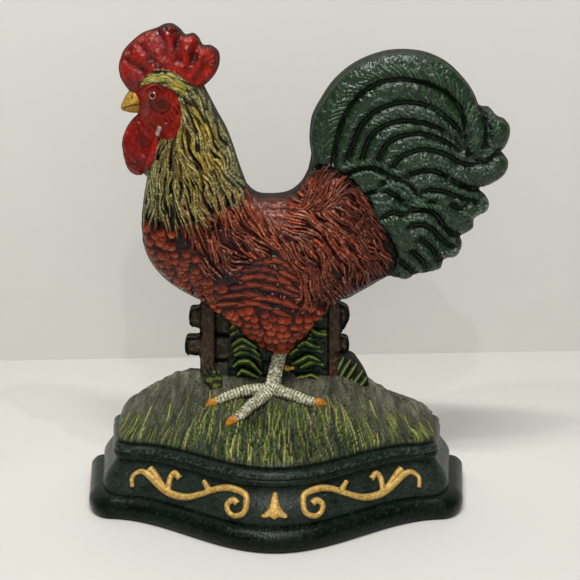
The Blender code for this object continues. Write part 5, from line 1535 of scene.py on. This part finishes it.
def make_mound():
    """The grassy mound: blades brushed down its slope, grey on the crest and yellow green in front."""
    turf = Sheet((-92, -66), (92, 4), paint(58, 64, 52))
    spots = turf.places()
    slope = np.clip(-spots[:, 1] / 55, 0, 1)
    tone = mix(paint(112, 110, 92), paint(30, 48, 28), ease(slope * 1.3 - 0.15))
    tone = mix(tone, paint(34, 42, 32), 0.6 * ease(0.5 + grain(spots * (1, 0.3), 2.2, 81)))
    turf.rgb[:] = tone.reshape(turf.rgb.shape)
    turf.lift[:] = (0.5 * grain(spots * (1, 0.4), 2.6, 83)).reshape(turf.lift.shape)
    dark = paint(14, 24, 14)

    def blade(x, y, size, wide, high, colour, lean, bend=0.07):
        fan = 0.006 * x + lean
        way = np.array([math.sin(fan), -math.cos(fan)])
        out = np.array([-way[1], way[0]]) * RNG.uniform(-1, 1) * size * bend
        foot = np.array([x, y])
        line = smooth([foot, foot + way * size * 0.5 + out, foot + way * size], 1.0)
        turf.stroke(line, wide, high, (dark, mix(colour, dark, 0.35), colour), None, (0.3, 1.8))

    for _ in range(GREY_BLADES):
        x, y = RNG.uniform(-90, 90), RNG.uniform(-64, -1)
        grey = mix(paint(132, 130, 110), paint(50, 64, 38), RNG.uniform(0, 1))
        blade(x, y, RNG.uniform(4, 9), RNG.uniform(0.3, 0.5), RNG.uniform(0.4, 0.8), grey,
              RNG.uniform(-0.2, 0.2))
    for _ in range(GREEN_BLADES):
        x, y = RNG.uniform(-88, 88), -62 * RNG.uniform(0.1, 1) ** 0.6
        patch = 0.5 + 0.5 * grain(np.array([[x, y]]) * (1, 0.6), 9, 93)[0]
        bright = mix(paint(84, 108, 42), paint(186, 182, 92), RNG.uniform(0, 1) ** 1.4 * patch)
        bright = mix(bright, paint(120, 122, 98), 0.7 * ease(1 + y / 22))
        blade(x, y, RNG.uniform(8, 17), RNG.uniform(0.3, 0.5), RNG.uniform(0.8, 1.5), bright,
              RNG.uniform(-0.1, 0.1))
    for _ in range(LONG_BLADES):
        x, y = RNG.uniform(-88, 88), -58 * RNG.uniform(0.12, 1) ** 0.7
        bright = mix(paint(120, 140, 60), paint(212, 206, 120), RNG.uniform(0, 1) ** 1.2)
        blade(x, y, RNG.uniform(11, 23), RNG.uniform(0.36, 0.6), RNG.uniform(1.0, 1.7), bright,
              RNG.uniform(-0.14, 0.14), 0.09)
    columns, rows = 360, 132
    u, v = np.meshgrid(np.linspace(0, 1, columns), np.linspace(0, 1, rows))
    side = np.sin(np.pi / 2 * (2 * u - 1)) * 0.5 + (2 * u - 1) * 0.5
    reach = front_depth(MOUND_HALF, MOUND_REACH, MOUND_HALF * side)
    y = -reach * (1 - v) - 0.3 * v
    x = side * (MOUND_HALF + 1.5 * np.clip(1 + y / END, 0, 1))
    flat = np.column_stack([x.ravel(), y.ravel()])
    lift, colour = turf.at(flat)
    z = mound_height(flat[:, 0], flat[:, 1])
    gap = np.minimum(1, np.hypot(flat[:, 0] / 34, (flat[:, 1] + 12) / 20))
    colour = mix(colour, paint(86, 84, 76), 0.45 * ease(1.6 - 1.6 * gap))
    row, column = np.divmod(np.arange(rows * columns), columns)
    rim = ease(np.minimum(np.minimum(column, columns - 1 - column), row) / 5.0)
    broad = grain(flat * (1, 0.4), 7, 87)
    fold = 0.7 * broad + 0.4 * grain(flat * (1, 0.6), 3, 89)
    # Darker in the low parts of the folds: painted shade.
    colour = mix(colour, paint(30, 36, 28), 0.45 * ease(-2.2 * broad))
    top = np.column_stack([flat, z + (lift + fold + 0.12 * grain(flat, 0.8, 91)) * rim])
    inset_x = flat[:, 0] * (1 - WALL / MOUND_HALF)
    inset_y = np.where(flat[:, 1] < -0.01, flat[:, 1] * (1 - WALL / 50), flat[:, 1])
    under_z = np.maximum(z - WALL - 1, MOUND_FOOT)
    hem = (row == 0) | (column == 0) | (column == columns - 1)
    under = np.column_stack([np.where(hem, flat[:, 0], inset_x), np.where(hem, flat[:, 1], inset_y),
                             np.where(hem, MOUND_FOOT, under_z)])
    n = rows * columns
    cells = np.arange(n).reshape(rows, columns)
    a = cells[:-1, :-1].ravel()
    faces = quads(a, a + 1, a + columns + 1, a + columns)
    edge = np.concatenate([cells[0], cells[1:, -1], cells[-1, -2::-1], cells[-2:0:-1, 0]])
    after = np.roll(edge, -1)
    triangles = np.vstack([faces, faces[:, ::-1] + n, quads(edge, edge + n, after + n, after)])
    shade = mix(colour, paint(20, 32, 24), 0.75 * (1 - rim))
    mesh = solid("grass_mound", np.vstack([top, under]), triangles,
                 np.vstack([shade, np.tile(BACK_IRON, (n, 1))]), np.column_stack([edge, after]))
    return link("grass_mound", mesh, "mound_green")


make_mound()


def applied(name, data, *modifiers):
    """A new mesh of an object's data after modifiers, each with its settings."""
    holder = bpy.data.objects.new(name, data)
    bpy.context.scene.collection.objects.link(holder)
    for kind, settings in modifiers:
        step = holder.modifiers.new(kind, kind)
        for key, value in settings.items():
            setattr(step, key, value)
    bpy.context.view_layer.update()
    made = bpy.data.meshes.new_from_object(holder.evaluated_get(bpy.context.evaluated_depsgraph_get()))
    bpy.data.objects.remove(holder, do_unlink=True)
    return made


def tube_mesh(name, strands):
    """Round bars along points, each with its own radii, as one mesh of closed bodies."""
    curve = bpy.data.curves.new(name, 'CURVE')
    curve.dimensions = '3D'
    curve.bevel_depth = MM
    curve.bevel_resolution = 6
    curve.use_fill_caps = True
    for points, radii in strands:
        spline = curve.splines.new('POLY')
        spline.points.add(len(points) - 1)
        for point, place, radius in zip(spline.points, points, radii):
            point.co = (*(np.array(place) * MM + ORIGIN), 1)
            point.radius = radius
    mesh = applied(name, curve)
    bpy.data.curves.remove(curve)
    return mesh


def fused(name, strands, voxel, colour_of, slot, shape_of=None):
    """Round bars run together into one closed skin, then reshaped and painted spot by spot."""
    skin = ('REMESH', {"mode": 'VOXEL', "voxel_size": voxel * MM, "use_smooth_shade": True})
    made = applied(name, tube_mesh(name, strands), skin, ('SMOOTH', {"iterations": 2}))
    p = (read(made, "co") - ORIGIN) / MM
    normal = read(made, "normal")
    if shape_of is not None:
        p = p + normal * shape_of(p)[:, None]
        made.vertices.foreach_set("co", (p * MM + ORIGIN).ravel())
    dress(made, colour_of(p, normal))
    made.update()
    return link(name, made, slot)


def on_mound(place, lift):
    """A place in plan, at a height above the mound."""
    x, y = place
    return np.array([x, y, float(mound_height(np.array([x]), np.array([y]))[0]) + lift])


def toe_line(side):
    """A toe's middle line from the ankle to the claw, arched over the mound."""
    path = smooth(ground(TOES[side]), 0.2)
    shares = np.linspace(0, 1, 26)
    places = path[np.round(shares * (len(path) - 1)).astype(int)]
    return shares, np.array([on_mound(p, 0.9 + 1.0 * math.sin(math.pi * t)) for p, t in zip(places, shares)])


VOXEL = 0.3
TOE_RADIUS, TOE_TAPER, SHAFT_RADIUS, SHAFT_STEPS, SCALE_PITCH = 3.7, 1.1, 3.6, 24, 1.7
CLAW_RADIUS, CLAW_LENGTH, SPUR_RADIUS, SPUR_LENGTH = 2.4, 6.0, 1.7, 5.0


def make_foot():
    """Scaly leg with three ringed toes, and their claws."""
    toes = {side: toe_line(side) for side in TOES}
    strands = [(line, TOE_RADIUS - TOE_TAPER * shares) for shares, line in toes.values()]
    axes = [line for shares, line in toes.values()]
    ankle = axes[0][0] + (0, 0, 0.6)
    hip = np.array([2.7, -11.0, CREST + 15])
    shaft = ankle + (hip - ankle) * np.linspace(0, 1, SHAFT_STEPS)[:, None]
    strands.append((shaft, SHAFT_RADIUS + 0.9 * np.exp(-np.arange(SHAFT_STEPS) / 3.0)))
    strands.append((shaft + (0, 4.5, 0), np.full(SHAFT_STEPS, 3.2)))
    z = np.linspace(CREST - 15, CREST + 13, SHAFT_STEPS)
    for x in (-0.2, 4.0):
        web = np.column_stack([x + 1.2 * (z - CREST) / 28, np.full(SHAFT_STEPS, -4.0), z])
        strands.append((web, np.full(SHAFT_STEPS, 2.5)))
    axes.append(shaft)

    def rings(p):
        total = np.zeros(len(p))
        best = np.full(len(p), 1e9)
        for line in axes:
            length = np.concatenate([[0], np.cumsum(np.linalg.norm(np.diff(line, axis=0), axis=1))])
            gap = np.linalg.norm(p[:, None] - line[None], axis=2)
            near = gap.argmin(axis=1)
            run = (line[-1] - line[0]) / np.linalg.norm(line[-1] - line[0])
            along = length[near] + np.sum((p - line[near]) * run, axis=1)
            closer = gap.min(axis=1) < best
            strength = 0.35 if line is shaft else 1.0
            total = np.where(closer, strength * np.sin(along * 2 * math.pi / SCALE_PITCH), total)
            best = np.minimum(best, gap.min(axis=1))
        return total

    def shape_of(p):
        return 0.16 * rings(p) + 0.26 * grain(p, 1.1, 97)

    def colour_of(p, normal):
        pale = ease(0.5 + 0.3 * rings(p) + 0.6 * grain(p, 0.8, 101))
        tone = mix(paint(104, 104, 80), paint(226, 222, 196), pale)
        # Painted shade on the undersides, where the surface faces down.
        tone = mix(tone, paint(30, 32, 24), 0.9 * ease(-normal[:, 2] * 1.2 + 0.25))
        tone = mix(tone, paint(126, 124, 78), 0.55 * ease(grain(p, 2.4, 103) * 1.4))
        return mix(tone, TUFT_DARK, 0.95 * ease((p[:, 1] + 9.5) / 2))

    def claw_colour(p, normal):
        return mix(paint(206, 140, 44), paint(170, 104, 34), 0.5 + 0.5 * grain(p, 1.4, 107))

    def spur_colour(p, normal):
        return mix(paint(208, 170, 56), paint(160, 104, 36), 0.5 + 0.5 * grain(p, 1.2, 109))

    fused("leg_and_foot", strands, VOXEL, colour_of, "leg_grey", shape_of)
    up = np.array([0, 0, 1.0])
    for side, (shares, line) in toes.items():
        way = line[-1] - line[-4]
        way /= np.linalg.norm(way)
        t = np.linspace(0, 1, 12)[:, None]
        claw = line[-1] + way * (0.2 + CLAW_LENGTH * t) + up * (1.1 * np.sin(t * math.pi) * 0.8 - 0.4 * t)
        radii = CLAW_RADIUS * np.sqrt(np.clip(1 - t[:, 0] ** 2.2, 0.03, 1))
        fused("claw_" + side, [(claw, radii)], VOXEL, claw_colour, "claw_orange")
    t = np.linspace(0, 1, 10)[:, None]
    spur = np.array([4.2, -12.4, CREST + 4.0]) + np.array([SPUR_LENGTH, 0, 0]) * t + up * (t ** 2 - t) * 1.5
    fused("spur", [(spur, SPUR_RADIUS - 1.1 * t[:, 0])], 0.26, spur_colour, "claw_orange")


make_foot()


def make_left_leaves():
    """Blades of grass from one root at the left post's foot."""
    root = np.array([-30.5, -14.0])
    strands = []
    for x, y, height in ((-39.5, -10.5, 5.0), (-38.0, -10.2, 7.5), (-35.6, -10, 9.4), (-33.0, -10, 8.8),
                         (-30.0, -10, 7.0)):
        a, c = on_mound(root + (x + 35, 0) * np.array([0.4, 0]), -0.2), on_mound((x, y), height)
        b = (a + c) / 2 + (1.2, -0.8, 1.6)
        t = np.linspace(0, 1, 14)[:, None]
        line = (1 - t) ** 2 * a + 2 * t * (1 - t) * b + t ** 2 * c
        strands.append((line, 1.15 * (1 - 0.8 * t[:, 0] ** 2)))

    def colour_of(p, normal):
        # Lighter where the surface faces forward and up, dark elsewhere: painted light and shade.
        ridge = ease(-normal[:, 1] * 0.8 + normal[:, 2] * 0.5)
        return mix(TUFT_DARK, mix(paint(24, 44, 22), paint(124, 128, 52), ease(grain(p, 1.5, 113))), ridge)

    fused("grass_leaves_left", strands, 0.32, colour_of, "tuft_green")


make_left_leaves()


EYE_RADIUS, ISLAND_SINK = 2.1, 0.4


def make_face_islands():
    """Ear lobe and eye, set in the face."""
    def lobe(p):
        return body_depth(p) + 0.05

    plate("ear_lobe", LOBE_LINE[:-1], lobe, [], "face_red", hollow=False, sunk=ISLAND_SINK)
    x, z = EYE_MARK[0]
    angles = np.linspace(0, 2 * math.pi, 49)[:-1]
    ring = np.column_stack([x + EYE_RADIUS * np.cos(angles), z + EYE_RADIUS * np.sin(angles)])

    def dome(p):
        r = np.hypot(p[:, 0] - x, p[:, 1] - z)
        return body_depth(p) + 0.35 + 0.55 * np.exp(-((r - 1.5) / 0.35) ** 2) + 0.5 * ease((1.0 - r) / 0.6)

    made = plate("eye", ring, dome, [], "eye_black", spacing=0.16, hollow=False, relief=0, sunk=ISLAND_SINK)
    p = (read(made.data, "co") - ORIGIN) / MM
    r = np.hypot(p[:, 0] - x, p[:, 2] - z)
    tone = mix(paint(60, 14, 10), paint(190, 120, 100), np.exp(-((r - 1.35) / 0.26) ** 2))
    tone = mix(tone, paint(16, 10, 8), ease((0.95 - r) / 0.3))
    dress(made.data, tone)


make_face_islands()

SCROLL_REACH = 70.8
SCROLL = [
    ([(-1, 0.29), (-1, 0.57), (-0.94, 0.73), (-0.88, 0.63), (-0.78, 0.39), (-0.7, 0.3), (-0.6, 0.35),
      (-0.49, 0.55), (-0.38, 0.77), (-0.29, 0.85), (-0.2, 0.77), (-0.19, 0.55), (-0.21, 0.32), (-0.27, 0.2),
      (-0.31, 0.28), (-0.32, 0.45), (-0.28, 0.59), (-0.25, 0.52)],
     [0.9, 0.9, 1.2, 1.4, 1.5, 1.5, 1.4, 1.3, 1.2, 1.2, 1.3, 1.4, 1.3, 1.2, 1.1, 1.0, 1.2, 1.3]),
    ([(-0.77, 0.43), (-0.83, 0.65), (-0.88, 0.84)], [1.0, 1.3, 1.5]),
    ([(-0.74, 0.4), (-0.73, 0.67), (-0.7, 0.84), (-0.66, 0.73)], [1.1, 1.2, 1.2, 1.2]),
    ([(-0.45, 0.67), (-0.49, 0.85)], [1.3, 0.9])]
SCROLL_RADIUS, SCROLL_SINK = 1.28, 0.35
MOTIF_RISE, MOTIF_RUN, MOTIF_SINK = 1.3, 1.8, 1.5
MOTIF_HALF = [
    (0, 13.9), (1.3, 12.8), (1.9, 10.4), (2.9, 7.8), (4.6, 6.2), (6.4, 5), (6.2, 3.9), (4.6, 3.7),
    (2.4, 4.3), (1.2, 3.8), (0, 3.1)]


def apron_face(x, z):
    """The y of the apron's face at x and a height above the table."""
    share = (z - PLINTH_H) / APRON_H
    fine = smooth(APRON_PROFILE, 0.02)
    part = np.interp(share, fine[:, 0], fine[:, 1])
    half_width = HALF_WIDTH - PLINTH_SIDE - APRON_SIDE * part
    return -front_depth(half_width, DEPTH - PLINTH_FRONT - APRON_FRONT * part, x)


def gold(p, normal):
    """Gold paint, turning dark brown at the foot of each scroll, where it meets the apron."""
    off = apron_face(p[:, 0], p[:, 2]) - p[:, 1]
    tone = mix(paint(224, 190, 112), paint(186, 142, 66), 0.5 + 0.5 * grain(p, 1.2, 127))
    return mix(paint(34, 26, 14), tone, ease((off - 0.25) / 0.5))


def make_gilding():
    """Two scrolls and the motif between them, raised on the apron."""
    for name, mirror in (("scroll_left", 1), ("scroll_right", -1)):
        strands = []
        for points, radii in SCROLL:
            flat = smooth([(x * SCROLL_REACH * mirror, PLINTH_H + z * APRON_H) for x, z in points], 0.7)
            at = np.linspace(0, 1, len(flat))
            size = SCROLL_RADIUS * np.interp(at, np.linspace(0, 1, len(radii)), radii)
            y = apron_face(flat[:, 0], flat[:, 1]) - SCROLL_SINK
            line = np.column_stack([flat[:, 0], y, flat[:, 1]])
            strands.append((line, size))
        fused(name, strands, VOXEL, gold, "gilt")
    right = [(x, z + PLINTH_H) for x, z in MOTIF_HALF]
    outline = np.array(right + [(-x, z) for x, z in reversed(right[1:-1])])
    flat = straight(looped(outline), 0.4)[:-1]
    inner = grid_points(flat, 0.5, 0.25)
    p = np.vstack([flat, inner])
    face = apron_face(p[:, 0], p[:, 1])
    crown = MOTIF_RISE * np.sqrt(np.clip(line_distance(p, [looped(flat)]) / MOTIF_RUN, 0, 1))
    front = np.column_stack([p[:, 0], face - 0.4 - crown - 0.15 * grain(p, 0.9, 131), p[:, 1]])
    behind = np.column_stack([p[:, 0], face + MOTIF_SINK, p[:, 1]])
    faces = fill(flat, inner)
    edge = np.arange(len(flat))[::-1 if clockwise(flat) else 1]
    after = np.roll(edge, -1)
    n = len(p)
    triangles = np.vstack([faces, faces[:, ::-1] + n, quads(edge, edge + n, after + n, after)])
    mesh = solid("centre_motif", np.vstack([front, behind]), triangles, np.tile(gold(front, None), (2, 1)))
    link("centre_motif", mesh, "gilt")


make_gilding()


def plain(name, colour, rough, one_sided=False):
    """A faintly mottled matt surface for the surroundings, one-sided where it is clear from behind."""
    material, nodes, links, shader = new_material(name)
    noise = add_node(nodes, "TexNoise", Scale=90.0)
    tone = add_mix(nodes)
    tone.inputs[6].default_value = (*(colour * 0.97), 1)
    tone.inputs[7].default_value = (*colour, 1)
    links.new(noise.outputs["Fac"], tone.inputs["Factor"])
    links.new(tone.outputs[2], shader.inputs["Base Color"])
    shader.inputs["Roughness"].default_value = rough
    shader.inputs["Specular IOR Level"].default_value = 0.2
    if one_sided:
        choice = add_node(nodes, "MixShader")
        behind = add_node(nodes, "NewGeometry").outputs["Backfacing"]
        for k, output in enumerate((
                behind, shader.outputs[0], add_node(nodes, "BsdfTransparent").outputs[0])):
            links.new(output, choice.inputs[k])
        links.new(choice.outputs[0], nodes["Material Output"].inputs["Surface"])
    return material


def sheet(name, corners, material):
    """A flat stage surface."""
    mesh = bpy.data.meshes.new(name)
    mesh.from_pydata([tuple(np.array(c) * MM + ORIGIN) for c in corners], [], [(0, 1, 2, 3)])
    made = bpy.data.objects.new(name, mesh)
    made.data.materials.append(material)
    bpy.context.scene.collection.objects.link(made)


ROOM, TABLE_TOP = 2500, -0.1
WALL_HALF, WALL_LEFT, WALL_RIGHT, WALL_TOP = 1500, 96, 246, 1600
sheet("table", [(x * ROOM, y * ROOM, TABLE_TOP) for x, y in ((-1, -1), (1, -1), (1, 1), (-1, 1))],
      plain("table_white", paint(219, 217, 213), 0.5))
sheet("wall", [(-WALL_HALF, WALL_LEFT, -1), (WALL_HALF, WALL_RIGHT, -1),
               (WALL_HALF, WALL_RIGHT, WALL_TOP), (-WALL_HALF, WALL_LEFT, WALL_TOP)],
      plain("wall_grey", paint(222, 221, 216), 0.8, one_sided=True))


def lamp(name, place, aim, size, power, colour=(1, 1, 1)):
    """A soft rectangular lamp."""
    light = bpy.data.lights.new(name, 'AREA')
    light.shape = 'RECTANGLE'
    light.size, light.size_y = size
    light.energy = power
    light.color = colour
    made = bpy.data.objects.new(name, light)
    made.location = np.array(place) * MM + ORIGIN
    made.rotation_euler = (Vector(aim) * MM - Vector(place) * MM).to_track_quat('-Z', 'Y').to_euler()
    bpy.context.scene.collection.objects.link(made)


lamp("key", (-60, -330, 1000), (0, 0, 90), (0.42, 0.035), 5.8, (1, 0.985, 0.95))
lamp("fill", (100, -1300, 560), (0, 0, 110), (0.9, 0.5), 1.9, (1, 0.99, 0.97))
lamp("glint_left", (-300, -420, 940), (0, 0, 110), (0.02, 0.02), 1.0)
lamp("glint_right", (260, -380, 960), (0, 0, 110), (0.02, 0.02), 1.0)
lamp("glint_front", (40, -700, 860), (0, 0, 110), (0.02, 0.02), 1.0)

world = bpy.data.worlds.new("room")
bpy.context.scene.world = world
world.use_nodes = True
sky = world.node_tree.nodes["Background"]
sky.inputs["Color"].default_value = (0.95, 0.94, 0.91, 1)
sky.inputs["Strength"].default_value = 0.24

lens = bpy.data.cameras.new("photo")
lens.sensor_width = 36.0
lens.lens = FOCAL * lens.sensor_width / IMAGE_SIDE
lens.clip_start = 0.01
camera = bpy.data.objects.new("photo", lens)
bpy.context.scene.collection.objects.link(camera)
turn = Matrix((RIGHT, UP, -FORWARD)).transposed()
camera.matrix_world = Matrix.Translation(Vector(EYE_POINT * MM + ORIGIN)) @ turn.to_4x4()
bpy.context.scene.camera = camera
bpy.context.scene.view_settings.view_transform = 'Standard'
